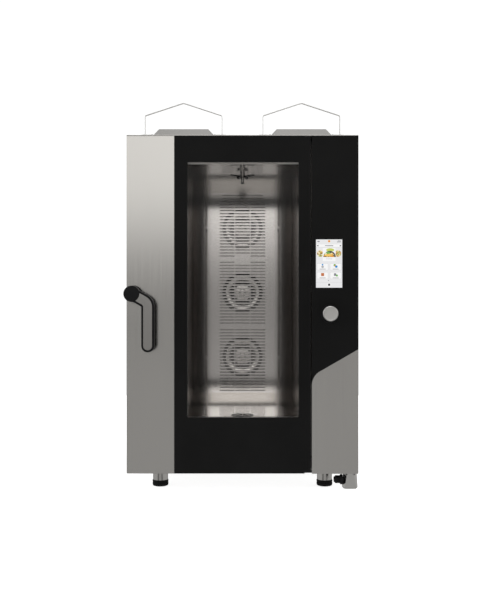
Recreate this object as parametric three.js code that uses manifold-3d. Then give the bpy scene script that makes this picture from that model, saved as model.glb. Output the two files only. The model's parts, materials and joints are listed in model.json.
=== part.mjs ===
// Combi steamer oven with a side-hinged glass door, a turning lever handle, a control column
// with a touch display and a push-and-turn knob, three rear fans and a retracting hand shower.
// Millimetres, +Z up. X runs to the right of a person facing the door and Y runs to the back.
// The origin is on the floor under the middle of the whole object.
import * as THREE from "three";
import { mergeVertices } from "three/addons/utils/BufferGeometryUtils.js";
import Module from "manifold-3d";

const wasm = await Module();
wasm.setup();

// Driving dimensions
const WIDTH = 750;
const HEIGHT = 1155;
const DEPTH = 783; // door glass to rear panel
const HANDLE_PROUD = 60;
const STUB_PROUD = 20; // pipe stubs behind the rear panel
const FLOOR_GAP = 59; // clear height under the base
const GAP = 0.3; // between pieces that touch
const SHEET = 1.5;
const GLASS = 5;

const HALF = WIDTH / 2;
const REAR = (DEPTH + HANDLE_PROUD - STUB_PROUD) / 2;
const FRONT = REAR - DEPTH; // face of the door glass

// Door and the column to its right
const DOOR_RIGHT = 221;
const DOOR_BOTTOM = FLOOR_GAP + 1;
const DOOR_TOP = HEIGHT - 3;
const DOOR_DEPTH = 44;
const SEAM = 3.4;
const COLUMN_LEFT = DOOR_RIGHT + SEAM;
const STRIP_RIGHT = -220; // steel side of the door ends here and the glass starts
const HINGE_INSET = 10;
const HINGE_ARM = 3; // thickness of the arms that carry the hinge pins
const HINGE = { x: DOOR_RIGHT - HINGE_INSET, y: FRONT + HINGE_INSET };
const WINDOW = { left: -177.5, right: 181, low: 241, high: 1067 };
const CABINET_FRONT = FRONT + 52;
const ROOF_SHEET = 2.5;
const WALL_TOP = HEIGHT - ROOF_SHEET - GAP;

// Oven cavity
const CAVITY = { half: 200, low: 220, high: 1090, back: FRONT + 692 };
const INSULATION = 30;
const BAFFLE = { y: FRONT + 640, half: 198, low: 248, high: 1053, thick: 2 };
const FAN_HEIGHTS = { upper: 910, middle: 651, lower: 393 };
const FAN_RADIUS = 100;
const INLET_RADIUS = 81;
const PIN = { x: 145.5, heights: [391, 911], radius: 4, long: 26 }; // rack pins on the baffle
const SPINNER = { y: FRONT + 300, z: 1065, reach: 44, rise: 0.15 };
const DRAIN = { y: FRONT + 204, radius: 39, pipe: 24, pipeZ: 135 };

// Controls, handle and fittings outside
const DISPLAY = { x: 280, z: 739, width: 88, height: 158 };
const KNOB = { x: 282.6, z: 577, radius: 24.6, proud: 24 };
const HANDLE = { x: -351.2, z: 641, boss: 25.6, armHalf: 21, insertHalf: 14 };
const LEVER = { x: HANDLE.x + 51.2, bottom: 476, front: -58, back: -36 };
const LATCH_RADIUS = 19;
const FOOT = { x: 275, inset: 100, sleeve: 25, pad: 26.5, padTop: 24.7 };
const INLET = { x: 250, z: 140 };
const SHOWER = { y: FRONT + 27.5, z: 36, depth: 25, bore: 8 };
const HOOP = { x: 191, half: 124.7, eaves: 1219, peak: 1261, strip: 3, y: FRONT + 12, wide: 9 };
const COWL = { x: 194, base: 109, top: 81, rise: 29, y: FRONT + 50, long: 300 };
const PANEL_CORNER = 50;
const PANEL_SHOULDER = 346; // height where the lower front panel's corner starts
const PANEL_SLOPE = Math.PI / 6;

// Finishes
const finish = (color, roughness, metalness) => () =>
  new THREE.MeshStandardMaterial({ color, roughness, metalness });
const brushedSteel = finish(0xb4b2ae, 0.38, 1);
const thinSteel = finish(0xc6c5c1, 0.3, 1);
const cavitySteel = finish(0xa9a6a0, 0.34, 1);
const blackGlass = finish(0x17181a, 0.08, 0);
const clearGlass = finish(0x9aa3a4, 0.05, 0);
const screen = finish(0xe6e8ea, 0.2, 0);
const blackPlastic = finish(0x1b1b1c, 0.5, 0);
const aluminium = finish(0x999894, 0.35, 1);
const rubber = finish(0x141414, 0.8, 0);
const wool = finish(0xc9bf97, 0.95, 0);
const paintedMetal = finish(0x4a4d50, 0.6, 0.3);
const lampPlastic = finish(0xf4f1e6, 0.4, 0);

// Shapes
const block = (lo, hi) => {
  const size = hi.map((v, i) => v - lo[i]);
  const mid = hi.map((v, i) => (v + lo[i]) / 2);
  return new THREE.BoxGeometry(...size).translate(...mid);
};

const outline = (points) => new THREE.Shape(points.map(([a, b]) => new THREE.Vector2(a, b)));

// An outline in X and Z, with thickness along Y.
const plate = (shape, yFront, yBack) => {
  const options = { depth: yBack - yFront, bevelEnabled: false, curveSegments: 12 };
  return new THREE.ExtrudeGeometry(shape, options).rotateX(Math.PI / 2).translate(0, yBack, 0);
};

// An outline in X and Y, with thickness along Z.
const prism = (shape, zLow, zHigh) => {
  const options = { depth: zHigh - zLow, bevelEnabled: false, curveSegments: 12 };
  return new THREE.ExtrudeGeometry(shape, options).translate(0, 0, zLow);
};

const rodX = (radius, x0, x1, y, z, sides = 24) =>
  new THREE.CylinderGeometry(radius, radius, x1 - x0, sides)
    .rotateZ(Math.PI / 2).translate((x0 + x1) / 2, y, z);

const rodY = (radius, y0, y1, x, z, sides = 24) =>
  new THREE.CylinderGeometry(radius, radius, y1 - y0, sides).translate(x, (y0 + y1) / 2, z);

const rodZ = (radius, z0, z1, x, y, sides = 24) =>
  new THREE.CylinderGeometry(radius, radius, z1 - z0, sides)
    .rotateX(Math.PI / 2).translate(x, y, (z0 + z1) / 2);

// A turned piece from [radius, height] points, standing on Z.
const turned = (profile, sides = 24) => {
  const points = profile.map(([r, h]) => new THREE.Vector2(r, h));
  return new THREE.LatheGeometry(points, sides).rotateX(Math.PI / 2);
};

// The same piece lying along Y, with its profile's heights running towards the front.
const turnedFront = (profile, sides = 24) => turned(profile, sides).rotateX(Math.PI / 2);

const solid = (geometry) => {
  const plain = new THREE.BufferGeometry();
  plain.setAttribute("position", geometry.getAttribute("position"));
  if (geometry.index) plain.setIndex(geometry.index);
  const merged = mergeVertices(plain, 1e-3);
  const vertProperties = new Float32Array(merged.getAttribute("position").array);
  const triVerts = new Uint32Array(merged.index.array);
  return new wasm.Manifold(new wasm.Mesh({ numProp: 3, vertProperties, triVerts }));
};

const geometryOf = (manifold) => {
  const mesh = manifold.getMesh();
  const geometry = new THREE.BufferGeometry();
  geometry.setAttribute("position", new THREE.BufferAttribute(mesh.vertProperties, 3));
  geometry.setIndex(new THREE.BufferAttribute(mesh.triVerts, 1));
  geometry.computeVertexNormals();
  return geometry;
};

const join = (...pieces) => geometryOf(pieces.map(solid).reduce((a, b) => a.add(b)));

const cut = (piece, ...tools) =>
  geometryOf(tools.map(solid).reduce((a, b) => a.subtract(b), solid(piece)));

const add = (group, name, material, geometry) => {
  const mesh = new THREE.Mesh(geometry, material());
  mesh.name = name;
  group.add(mesh);
  return mesh;
};

const oven = new THREE.Group();

// Cabinet: base, walls, roof and front frame.
{
  const low = FLOOR_GAP;
  const sideX = HALF - SHEET - GAP;
  const back = REAR - SHEET - GAP;
  const rim = 40;
  const floorSheet = 2;
  const tray = block([-sideX, CABINET_FRONT, low], [sideX, back, low + rim]);
  const inside = block(
    [-sideX + floorSheet, CABINET_FRONT + floorSheet, low + floorSheet],
    [sideX - floorSheet, back - floorSheet, low + rim + 1],
  );
  const columnFloor = block(
    [COLUMN_LEFT + 2, FRONT + 6, low],
    [sideX, CABINET_FRONT + 1, low + floorSheet],
  );
  add(oven, "base_tray", brushedSteel, join(cut(tray, inside), columnFloor));

  add(oven, "side_panel_left", brushedSteel,
    block([-HALF, CABINET_FRONT, low], [-HALF + SHEET, back, WALL_TOP]));
  add(oven, "side_panel_right", brushedSteel,
    block([HALF - SHEET, FRONT + GLASS + GAP, low], [HALF, back, WALL_TOP]));
  add(oven, "roof_panel", brushedSteel,
    block([-HALF, FRONT + 0.5, HEIGHT - ROOF_SHEET], [HALF, REAR, HEIGHT]));

  const rearHoles = [
    rodY(DRAIN.pipe + 1, REAR - 10, REAR + 10, 0, DRAIN.pipeZ),
    rodY(14, REAR - 10, REAR + 10, INLET.x, INLET.z),
  ];
  for (const x of [-240, 240]) {
    for (let row = 0; row < 8; row += 1) {
      const z = 980 - row * 22;
      rearHoles.push(block([x - 70, REAR - 10, z - 4], [x + 70, REAR + 10, z + 4]));
    }
  }
  add(oven, "rear_panel", brushedSteel,
    cut(block([-HALF, REAR - SHEET, low], [HALF, REAR, WALL_TOP]), ...rearHoles));

  const frame = block(
    [-sideX, CABINET_FRONT, low + rim + GAP],
    [CAVITY.half + INSULATION, CABINET_FRONT + 2, WALL_TOP],
  );
  const mouth = block(
    [-CAVITY.half, CABINET_FRONT - 5, CAVITY.low], [CAVITY.half, CABINET_FRONT + 5, CAVITY.high]);
  const latchHole = rodY(LATCH_RADIUS, CABINET_FRONT - 5, CABINET_FRONT + 5, HANDLE.x, HANDLE.z, 32);
  add(oven, "front_frame", brushedSteel, cut(frame, mouth, latchHole));

  const around = (margin, yFront, yBack) => block(
    [-CAVITY.half - margin, yFront, CAVITY.low - margin],
    [CAVITY.half + margin, yBack, CAVITY.high + margin],
  );
  add(oven, "door_gasket", rubber, cut(
    around(15, CABINET_FRONT - 6, CABINET_FRONT - GAP),
    around(3, CABINET_FRONT - 10, CABINET_FRONT + 5)));
}

// Oven cavity: five welded sheets with insulation wrapped around them.
{
  const { half, low, high, back } = CAVITY;
  const mouth = CABINET_FRONT + 2 + GAP;
  const outer = half + SHEET;
  const shaftHoles = (radius) => Object.values(FAN_HEIGHTS).map(
    (z) => rodY(radius, back - 5, back + INSULATION + 5, 0, z));
  const feedHole = (radius) => rodZ(radius, high - 5, high + INSULATION + 5, 0, SPINNER.y);
  const drainHole = (radius) => rodZ(radius, low - INSULATION - 5, low + 5, 0, DRAIN.y, 32);
  const steamHole = (radius) => rodX(radius, half - 5, half + INSULATION + 5, 200, 560);

  add(oven, "cavity_ceiling", cavitySteel,
    cut(block([-outer, mouth, high], [outer, back, high + SHEET]), feedHole(9)));
  add(oven, "cavity_floor", cavitySteel,
    cut(block([-outer, mouth, low - SHEET], [outer, back, low]), drainHole(DRAIN.radius + 0.5)));
  add(oven, "cavity_wall_left", cavitySteel,
    block([-outer, mouth, low + GAP], [-half, back, high - GAP]));
  add(oven, "cavity_wall_right", cavitySteel,
    cut(block([half, mouth, low + GAP], [outer, back, high - GAP]), steamHole(13)));
  add(oven, "cavity_back", cavitySteel,
    cut(block([-outer, back + GAP, low - SHEET], [outer, back + GAP + SHEET, high + SHEET]),
      ...shaftHoles(11)));

  const wrap = block(
    [-half - INSULATION, mouth, low - INSULATION],
    [half + INSULATION, back + 20, high + INSULATION],
  );
  const liner = block(
    [-outer - GAP, mouth - 1, low - SHEET - GAP],
    [outer + GAP, back + SHEET + 2 * GAP, high + SHEET + GAP],
  );
  add(oven, "cavity_insulation", wool,
    cut(wrap, liner, ...shaftHoles(14), feedHole(11), drainHole(44), steamHole(13)));
}

// Air baffle: three groups of slots, one before each fan, and four pins that hold the racks.
// Behind the slots stands an inlet plate with a round opening for each fan.
{
  const { y, half, low, high, thick } = BAFFLE;
  const rowPitch = 12.2;
  const rowCount = 21;
  const slotHigh = 5.2;
  const rowHalf = 91.2;
  const shortRowHalf = 81;
  const webHalf = 1.8;
  const webX = 31;
  const slot = (x0, x1, z0, z1) => block([x0, y - 5, z0], [x1, y + 5, z1]);
  const slots = [];
  const groups = [
    { top: 1042, shortRows: 3, splitRow: rowCount - 1 },
    { top: 772.5, shortRows: 0, splitRow: 0 },
    { top: 501.5, shortRows: 0, splitRow: -1 },
  ];
  for (const { top, shortRows, splitRow } of groups) {
    for (let row = 0; row < rowCount; row += 1) {
      const z = top - row * rowPitch;
      const end = row < shortRows ? shortRowHalf : rowHalf;
      const spans = [[-end, -webX - webHalf], [webX + webHalf, end]];
      if (row !== splitRow) spans.push([-webX + webHalf, webX - webHalf]);
      slots.push(...spans.map(([x0, x1]) => slot(x0, x1, z - slotHigh / 2, z + slotHigh / 2)));
    }
  }
  const edgeSlot = { near: 141, far: 149, end: 4 };
  for (const side of [-1, 1]) {
    const [x0, x1] = [side * edgeSlot.near, side * edgeSlot.far].sort((a, b) => a - b);
    slots.push(slot(x0, x1, low + edgeSlot.end, high - edgeSlot.end));
  }
  const pins = [];
  for (const x of [-PIN.x, PIN.x]) {
    for (const z of PIN.heights) {
      pins.push(block([x - 7, y - 6, z - 6], [x + 7, y + 1, z + 6]));
      pins.push(rodY(PIN.radius, y - PIN.long, y - 5, x, z, 12));
    }
  }
  const sheet = cut(block([-half, y, low], [half, y + thick, high]), ...slots);

  const inlet = { half: 108, back: 11.5, thick: 1.5 };
  const openings = Object.values(FAN_HEIGHTS).map(
    (z) => rodY(INLET_RADIUS, y, y + 2 * inlet.back, 0, z, 40));
  const inletPlate = cut(
    block([-inlet.half, y + thick - 0.5, low + 2], [inlet.half, y + inlet.back, high - 2]),
    block([-inlet.half + inlet.thick, y, low + 1],
      [inlet.half - inlet.thick, y + inlet.back - inlet.thick, high - 1]),
    ...openings,
  );
  add(oven, "air_baffle", cavitySteel, join(sheet, inletPlate, ...pins));
}

// Fans, their motors and the heater ring around each fan.
for (const [place, z] of Object.entries(FAN_HEIGHTS)) {
  const wheelBack = 22; // the wheel's middle is the local origin
  const wheelFront = -13;
  const bladeInner = 62;
  const bladeOuter = FAN_RADIUS - 2;
  const hubRadius = 36;
  const shaftRadius = 8;
  const blades = [];
  const bladeCount = 12;
  for (let i = 0; i < bladeCount; i += 1) {
    const blade = new THREE.BoxGeometry(bladeOuter - bladeInner, wheelBack - wheelFront - 2, 2);
    blade.rotateY(-0.55).translate((bladeInner + bladeOuter) / 2, (wheelBack + wheelFront) / 2, 0);
    blades.push(blade.rotateY((i / bladeCount) * 2 * Math.PI));
  }
  const rim = turnedFront([
    [47, -wheelFront - 2], [76, -wheelFront - 2], [76, -wheelFront], [47, -wheelFront],
    [47, -wheelFront - 2],
  ], 36);
  const hub = turnedFront([
    [0, -wheelBack + 1], [hubRadius, -wheelBack + 1], [hubRadius - 4, -wheelFront - 3],
    [14, -wheelFront - 3], [14, -wheelFront], [0, -wheelFront],
  ], 32);
  const wheel = join(
    rodY(FAN_RADIUS, wheelBack - 2, wheelBack, 0, 0, 36),
    rodY(shaftRadius, wheelBack - 1, 46, 0, 0, 20),
    hub,
    rim,
    ...blades,
  );
  const fan = new THREE.Group();
  fan.position.set(0, BAFFLE.y + 26, z);
  add(fan, `fan_${place}`, thinSteel, wheel);
  oven.add(fan);

  const motorFront = CAVITY.back + 20 + GAP;
  const motor = join(
    rodY(50, motorFront + 4, motorFront + 62, 0, 0, 32),
    block([-48, motorFront, -48], [48, motorFront + 5, 48]),
  );
  const shaftHole = rodY(9, motorFront - 1, motorFront + 30, 0, 0, 20);
  add(oven, `fan_motor_${place}`, paintedMetal, cut(motor, shaftHole)).position.z = z;

  const tube = 4;
  const ring = new THREE.TorusGeometry(113, tube, 6, 28).rotateX(Math.PI / 2);
  add(oven, `heater_ring_${place}`, paintedMetal, ring).position.set(0, BAFFLE.y + 28, z);
}

// Wash arm under the ceiling, with its feed pipe.
{
  const hub = turned([[0, -24], [5, -24], [8, -16], [8, -8], [11, -6], [11, 10], [0, 10]], 20);
  const rods = [-1, 1].map((side) => rodX(4, 0, SPINNER.reach, 0, 0, 12)
    .rotateY(side > 0 ? -SPINNER.rise : Math.PI + SPINNER.rise));
  const spinner = add(oven, "wash_spinner", thinSteel, join(hub, ...rods));
  spinner.position.set(0, SPINNER.y, SPINNER.z);

  const feed = turned([
    [0, 0], [8, 0], [8, 8], [20, 10], [20, 13.5], [8, 13.5], [8, 70], [0, 70],
  ], 20);
  const pipe = add(oven, "wash_feed_pipe", thinSteel, feed);
  pipe.position.set(0, SPINNER.y, SPINNER.z + 10 + GAP);
}

// Drain: strainer in the cavity floor and a pipe that leaves at the rear.
{
  const dish = turned([
    [0, -3], [DRAIN.radius, -3], [DRAIN.radius, 1], [11, 2], [8, 6], [0, 6],
  ], 32);
  const holes = [];
  for (let i = 0; i < 10; i += 1) {
    const angle = (i / 10) * 2 * Math.PI;
    holes.push(rodZ(4.5, -10, 10, 25 * Math.cos(angle), 25 * Math.sin(angle), 8));
  }
  const strainer = add(oven, "drain_strainer", thinSteel, cut(dish, ...holes));
  strainer.position.set(0, DRAIN.y, CAVITY.low);

  const bend = 40;
  const top = CAVITY.low - 5;
  const route = new THREE.CurvePath();
  const corner = DRAIN.pipeZ;
  route.add(new THREE.LineCurve3(
    new THREE.Vector3(0, DRAIN.y, top), new THREE.Vector3(0, DRAIN.y, corner + bend)));
  route.add(new THREE.QuadraticBezierCurve3(
    new THREE.Vector3(0, DRAIN.y, corner + bend), new THREE.Vector3(0, DRAIN.y, corner),
    new THREE.Vector3(0, DRAIN.y + bend, corner)));
  route.add(new THREE.LineCurve3(
    new THREE.Vector3(0, DRAIN.y + bend, corner),
    new THREE.Vector3(0, REAR + STUB_PROUD, corner)));
  const tube = (radius) => new THREE.ExtrudeGeometry(
    new THREE.Shape().absarc(0, 0, radius, 0, 2 * Math.PI),
    { steps: 22, extrudePath: route, curveSegments: 6 });
  const ends = [block([-18, DRAIN.y - 18, top - 3], [18, DRAIN.y + 18, top + 5]),
    rodY(DRAIN.pipe - 3, REAR - 10, REAR + STUB_PROUD + 5, 0, corner, 12)];
  add(oven, "drain_pipe", blackPlastic, cut(tube(DRAIN.pipe), tube(DRAIN.pipe - 3), ...ends));

  add(oven, "water_inlet", thinSteel, join(
    rodY(13, REAR - 60, REAR + 16, INLET.x, INLET.z),
    rodY(20, REAR + GAP, REAR + 5, INLET.x, INLET.z, 6)));
  const gland = turned([
    [0, 0], [15, 0], [15, 6], [12, 9], [12, 18], [7, 18], [7, 6], [0, 6],
  ], 16).rotateX(-Math.PI / 2);
  add(oven, "cable_gland", blackPlastic, gland).position.set(300, REAR + GAP, 190);
}

// Steam generator and electronics in the space to the right of the cavity.
{
  const wall = 2;
  const steam = { y: 200, z: 560, radius: 12, bore: 10 };
  const low = [275, 60, 200];
  const high = [362, 330, 620];
  const steamPipe = rodX(steam.radius, CAVITY.half + 2, low[0] + 5, steam.y, steam.z);
  const bore = rodX(steam.bore, CAVITY.half - 5, low[0] + 15, steam.y, steam.z);
  const hollow = block(low.map((v) => v + wall), high.map((v) => v - wall));
  add(oven, "steam_generator", thinSteel,
    cut(join(block(low, high), steamPipe), hollow, bore));
  add(oven, "control_board", blackPlastic,
    block([240, FRONT + 12, 650], [365, FRONT + 36, 1000]));
}

// Column to the right of the door: hinge post, glass, display, bezel and the lower steel panel.
{
  const armFront = FRONT + GLASS + 0.6;
  const postLeft = COLUMN_LEFT + 2;
  const postBack = CABINET_FRONT - GAP;
  const wall = 2.5;
  const low = FLOOR_GAP + 2 + GAP;
  const post = prism(outline([
    [postLeft, armFront + 2], [250, armFront + 2], [250, armFront + 2 + wall],
    [postLeft + wall, armFront + 2 + wall], [postLeft + wall, postBack - wall],
    [250, postBack - wall], [250, postBack], [postLeft, postBack],
  ]), low, WALL_TOP);
  const arms = [[low, low + HINGE_ARM], [WALL_TOP - HINGE_ARM, WALL_TOP]].map(
    ([z0, z1]) => block([HINGE.x - 9, armFront, z0], [250, armFront + 24, z1]));
  const pins = [rodZ(4, low, low + 16, HINGE.x, HINGE.y),
    rodZ(4, WALL_TOP - 16, WALL_TOP, HINGE.x, HINGE.y)];
  add(oven, "hinge_post", paintedMetal, join(post, ...arms, ...pins));

  const cornerX = COLUMN_LEFT + PANEL_CORNER;
  const slopeStart = Math.PI / 2 + PANEL_SLOPE;
  const arc = (radius) => {
    const steps = 10;
    const points = [];
    for (let i = 0; i <= steps; i += 1) {
      const angle = Math.PI + (slopeStart - Math.PI) * (i / steps);
      points.push([cornerX + radius * Math.cos(angle), PANEL_SHOULDER + radius * Math.sin(angle)]);
    }
    return points;
  };
  const slopeEnd = (radius) => {
    const [x, z] = arc(radius).at(-1);
    return [HALF, z + (HALF - x) * Math.tan(PANEL_SLOPE)];
  };

  const panelArc = arc(PANEL_CORNER);
  const panel = outline([[COLUMN_LEFT, FLOOR_GAP], ...panelArc, slopeEnd(PANEL_CORNER),
    [HALF, FLOOR_GAP]].reverse());
  const returnEdge = block(
    [COLUMN_LEFT, FRONT + 1, FLOOR_GAP + 6], [COLUMN_LEFT + SHEET, postBack, PANEL_SHOULDER]);
  add(oven, "lower_front_panel", brushedSteel,
    join(plate(panel, FRONT + 1, FRONT + 1 + SHEET), returnEdge));

  const glassArc = arc(PANEL_CORNER + GAP).filter(([x]) => x > COLUMN_LEFT + 0.5);
  const glass = outline([[COLUMN_LEFT, glassArc[0][1]], ...glassArc,
    slopeEnd(PANEL_CORNER + GAP), [HALF, DOOR_TOP], [COLUMN_LEFT, DOOR_TOP]]);
  const displayHole = new THREE.BoxGeometry(
    DISPLAY.width + 2 * GAP, GLASS * 4, DISPLAY.height + 2 * GAP)
    .translate(DISPLAY.x, FRONT, DISPLAY.z);
  add(oven, "control_glass", blackGlass, cut(plate(glass, FRONT, FRONT + GLASS),
    displayHole, rodY(7, FRONT - 1, FRONT + GLASS + 1, KNOB.x, KNOB.z)));

  const display = new THREE.BoxGeometry(DISPLAY.width, GLASS, DISPLAY.height);
  add(oven, "display_screen", screen, display)
    .position.set(DISPLAY.x, FRONT + GLASS / 2, DISPLAY.z);

  const bezel = turnedFront([[26.2, 0], [30, 0], [30, 1], [29, 1.8], [26.2, 1.8], [26.2, 0]], 40);
  add(oven, "knob_bezel", blackPlastic, bezel).position.set(KNOB.x, FRONT - GAP, KNOB.z);
}

// Knob: the shaft slides in when pressed, and the cap turns on it.
{
  const knob = new THREE.Group();
  knob.position.set(KNOB.x, FRONT, KNOB.z);
  add(knob, "knob_shaft", aluminium, join(rodY(5, -14, 24, 0, 0), rodY(10, 8, 24, 0, 0)));
  const { radius, proud } = KNOB;
  const cap = turnedFront([
    [5.3, 2.5], [radius, 2.5], [radius, proud - 1.5], [radius - 1.5, proud], [0, proud],
    [0, 14.5], [5.3, 14.5], [5.3, 2.5],
  ], 40);
  add(knob, "knob_cap", aluminium, cap);
  oven.add(knob);
}

// Feet: a steel sleeve under the base with a levelling pad screwed into it.
for (const [depthName, y] of [["front", FRONT + FOOT.inset], ["rear", REAR - FOOT.inset]]) {
  for (const [sideName, x] of [["left", -FOOT.x], ["right", FOOT.x]]) {
    const foot = new THREE.Group();
    foot.position.set(x, y, 0);
    add(foot, `foot_sleeve_${depthName}_${sideName}`, brushedSteel,
      rodZ(FOOT.sleeve, FOOT.padTop + GAP, FLOOR_GAP - GAP, 0, 0, 24));
    add(foot, `foot_pad_${depthName}_${sideName}`, rubber, turned([
      [0, 0], [FOOT.pad - 4, 0], [FOOT.pad - 1, 1.5], [FOOT.pad, 5], [FOOT.pad, FOOT.padTop],
      [0, FOOT.padTop],
    ], 20));
    oven.add(foot);
  }
}

// Hand shower parked in a holder under the lower front panel.
{
  const { y, z, depth, bore } = SHOWER;
  const low = 7;
  const holder = outline([
    [335, low], [367, low], [371, low + 5], [367, FLOOR_GAP - GAP], [342, FLOOR_GAP - GAP],
    [331, low + 5],
  ]);
  add(oven, "shower_holder", brushedSteel,
    cut(plate(holder, y - depth / 2, y + depth / 2), rodX(bore, 320, 365, y, z)));

  const head = new THREE.Group();
  head.position.set(0, y, z);
  add(head, "shower_head", blackPlastic, join(
    rodX(9, 298, 302, 0, 0), rodX(13, 301, 319, 0, 0), rodX(16.5, 318, 326, 0, 0, 32),
    rodX(6, 325, 362, 0, 0, 16)));
  oven.add(head);
}

// Roof: a wire-thin hoop at the front edge and a low vent cowl behind it, on each side.
for (const [side, sign] of [["left", -1], ["right", 1]]) {
  const roof = HEIGHT + GAP;
  const { half, eaves, peak, strip, wide } = HOOP;
  const house = (inset, low, yHalf) => plate(outline([
    [-half + inset, low], [half - inset, low], [half - inset, eaves - inset / 3],
    [0, peak - inset * 1.1], [-half + inset, eaves - inset / 3],
  ]), -yHalf, yHalf);
  const feet = [-1, 1].map((end) => {
    const middle = end * (half - 10);
    return block([middle - 21, -7, roof], [middle + 21, 7, roof + 2]);
  });
  const bow = cut(house(0, roof, wide / 2), house(strip, roof - 5, wide));
  const hoop = join(bow, ...feet);
  add(oven, `roof_hoop_${side}`, thinSteel, hoop).position.set(sign * HOOP.x, HOOP.y, 0);

  const { base, top, rise, long } = COWL;
  const shell = (inset) => {
    const shape = outline([
      [-base + inset * 2.4, 0], [base - inset * 2.4, 0], [top - inset, rise - inset],
      [-top + inset, rise - inset],
    ]);
    return plate(shape, inset, long - inset);
  };
  const hollow = shell(SHEET).translate(0, 0, -0.01);
  add(oven, `vent_cowl_${side}`, brushedSteel, cut(shell(0), hollow))
    .position.set(sign * COWL.x, COWL.y, roof);
}

// Door, drawn in a group whose origin is on the hinge line.
const door = new THREE.Group();
door.position.set(HINGE.x, HINGE.y, 0);
const doorFace = -HINGE_INSET; // the glass face in the door's own frame
const shiftX = -HINGE.x;
{
  const back = doorFace + DOOR_DEPTH;
  const frameFront = doorFace + GLASS + GAP;
  const coverRight = STRIP_RIGHT - GAP + shiftX;
  const left = -HALF + shiftX;

  const tube = outline([[left, doorFace], [coverRight, doorFace], [coverRight, back], [left, back]]);
  tube.holes.push(outline([
    [left + SHEET, doorFace + SHEET], [coverRight - SHEET, doorFace + SHEET],
    [coverRight - SHEET, back - SHEET], [left + SHEET, back - SHEET],
  ]));
  add(door, "door_side_cover", brushedSteel, cut(
    prism(tube, DOOR_BOTTOM, DOOR_TOP),
    rodY(8, doorFace - 5, back + 5, HANDLE.x + shiftX, HANDLE.z)));

  const { low, high } = WINDOW;
  const paneLeft = shiftX + WINDOW.left;
  const paneRight = shiftX + WINDOW.right;
  const right = DOOR_RIGHT + shiftX;
  const mask = block(
    [STRIP_RIGHT + shiftX, doorFace, DOOR_BOTTOM], [right, doorFace + GLASS, DOOR_TOP]);
  const windowHole = block(
    [paneLeft, doorFace - 5, low], [paneRight, doorFace + GLASS + 5, high]);
  const bevel = new THREE.BoxGeometry(4, 4, HEIGHT * 2).rotateZ(Math.PI / 4)
    .translate(right + 0.83, doorFace - 0.83, HEIGHT / 2);
  const notches = [[DOOR_BOTTOM - 1, FLOOR_GAP + HINGE_ARM + 4], [WALL_TOP - HINGE_ARM - 1.5, HEIGHT]]
    .map(([z0, z1]) => block([-HINGE_INSET, doorFace - 1, z0], [right + 1, doorFace + GLASS + 1, z1]));
  add(door, "door_glass", blackGlass, cut(mask, windowHole, bevel, ...notches));
  add(door, "door_window", clearGlass, block(
    [paneLeft + GAP, doorFace, low + GAP], [paneRight - GAP, doorFace + GLASS, high - GAP]));

  const wall = 2;
  const sleeve = 3;
  const frameLow = DOOR_BOTTOM + 7;
  const frameHigh = DOOR_TOP - 6;
  const tray = block([STRIP_RIGHT + shiftX, frameFront, frameLow], [right - 1, back, frameHigh]);
  const ringPocket = cut(
    block([STRIP_RIGHT + shiftX + wall, frameFront - 1, frameLow + wall],
      [right - 1 - wall, back - wall, frameHigh - wall]),
    block([paneLeft - sleeve - wall, frameFront - 2, low - sleeve - wall],
      [paneRight + sleeve + wall, back + 1, high + sleeve + wall]),
  );
  const through = block([paneLeft - sleeve, frameFront - 5, low - sleeve],
    [paneRight + sleeve, back + 5, high + sleeve]);
  const pinHoles = rodZ(4.4, frameLow - 5, frameHigh + 5, 0, 0);
  add(door, "door_frame", thinSteel, cut(tray, ringPocket, through, pinHoles));

  const paneGap = sleeve - GAP;
  add(door, "door_inner_glass", clearGlass, block(
    [paneLeft - paneGap, back - 7, low - paneGap],
    [paneRight + paneGap, back - 2, high + paneGap]));
  const lampLow = high - 4;
  add(door, "door_lamp", lampPlastic, block(
    [paneLeft - paneGap, doorFace + 10, lampLow],
    [paneRight + paneGap, doorFace + 20, high + paneGap]));
  oven.add(door);
}

// Handle: a lever that turns about the boss, with its spindle and latch cam behind the door.
{
  const handle = new THREE.Group();
  handle.position.set(HANDLE.x + shiftX, doorFace, HANDLE.z);
  const bendX = LEVER.x - HANDLE.x;
  const slope = -0.506; // the first stretch runs down to the right at 29 degrees
  const bendZ = bendX * Math.tan(slope);
  const bendRadius = 24;
  const end = LEVER.bottom - HANDLE.z;

  // The outline of a strip of one width along the arm: slanted, curved and then straight down.
  const strip = (halfWidth, startAlong) => {
    const turn = Math.PI / 2 + slope;
    const cutBack = bendRadius * Math.tan(turn / 2);
    const centre = [bendX - bendRadius, bendZ - cutBack];
    const ux = Math.cos(slope);
    const uz = Math.sin(slope);
    const start = [ux * startAlong, uz * startAlong];
    const steps = 6;
    const side = (offset) => {
      const points = [[start[0] - uz * offset, start[1] + ux * offset]];
      for (let i = 0; i <= steps; i += 1) {
        const angle = turn * (1 - i / steps);
        const radius = bendRadius + offset;
        points.push([centre[0] + radius * Math.cos(angle), centre[1] + radius * Math.sin(angle)]);
      }
      points.push([bendX + offset, end]);
      return points;
    };
    const round = [];
    for (let i = 1; i < 10; i += 1) {
      const angle = -(i / 10) * Math.PI;
      round.push([bendX + halfWidth * Math.cos(angle), end + halfWidth * Math.sin(angle)]);
    }
    const back = side(-halfWidth).reverse();
    return outline([...side(halfWidth), ...round, ...back].reverse());
  };

  const { boss, armHalf, insertHalf } = HANDLE;
  const arm = plate(strip(armHalf, 2), LEVER.front, LEVER.back);
  const cam = block([-6, 47, -15], [6, 58, 4]);
  add(handle, "handle_lever", blackPlastic, join(
    arm, rodY(boss, LEVER.front, -0.5, 0, 0, 40), rodY(6.5, -5, 58, 0, 0, 20), cam));
  const cover = plate(strip(insertHalf, 10), -HANDLE_PROUD, LEVER.front - GAP);
  add(handle, "handle_insert", brushedSteel,
    cut(cover, rodY(boss + 0.5, -HANDLE_PROUD - 5, LEVER.front + 5, 0, 0, 40)));
  door.add(handle);
}

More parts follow.
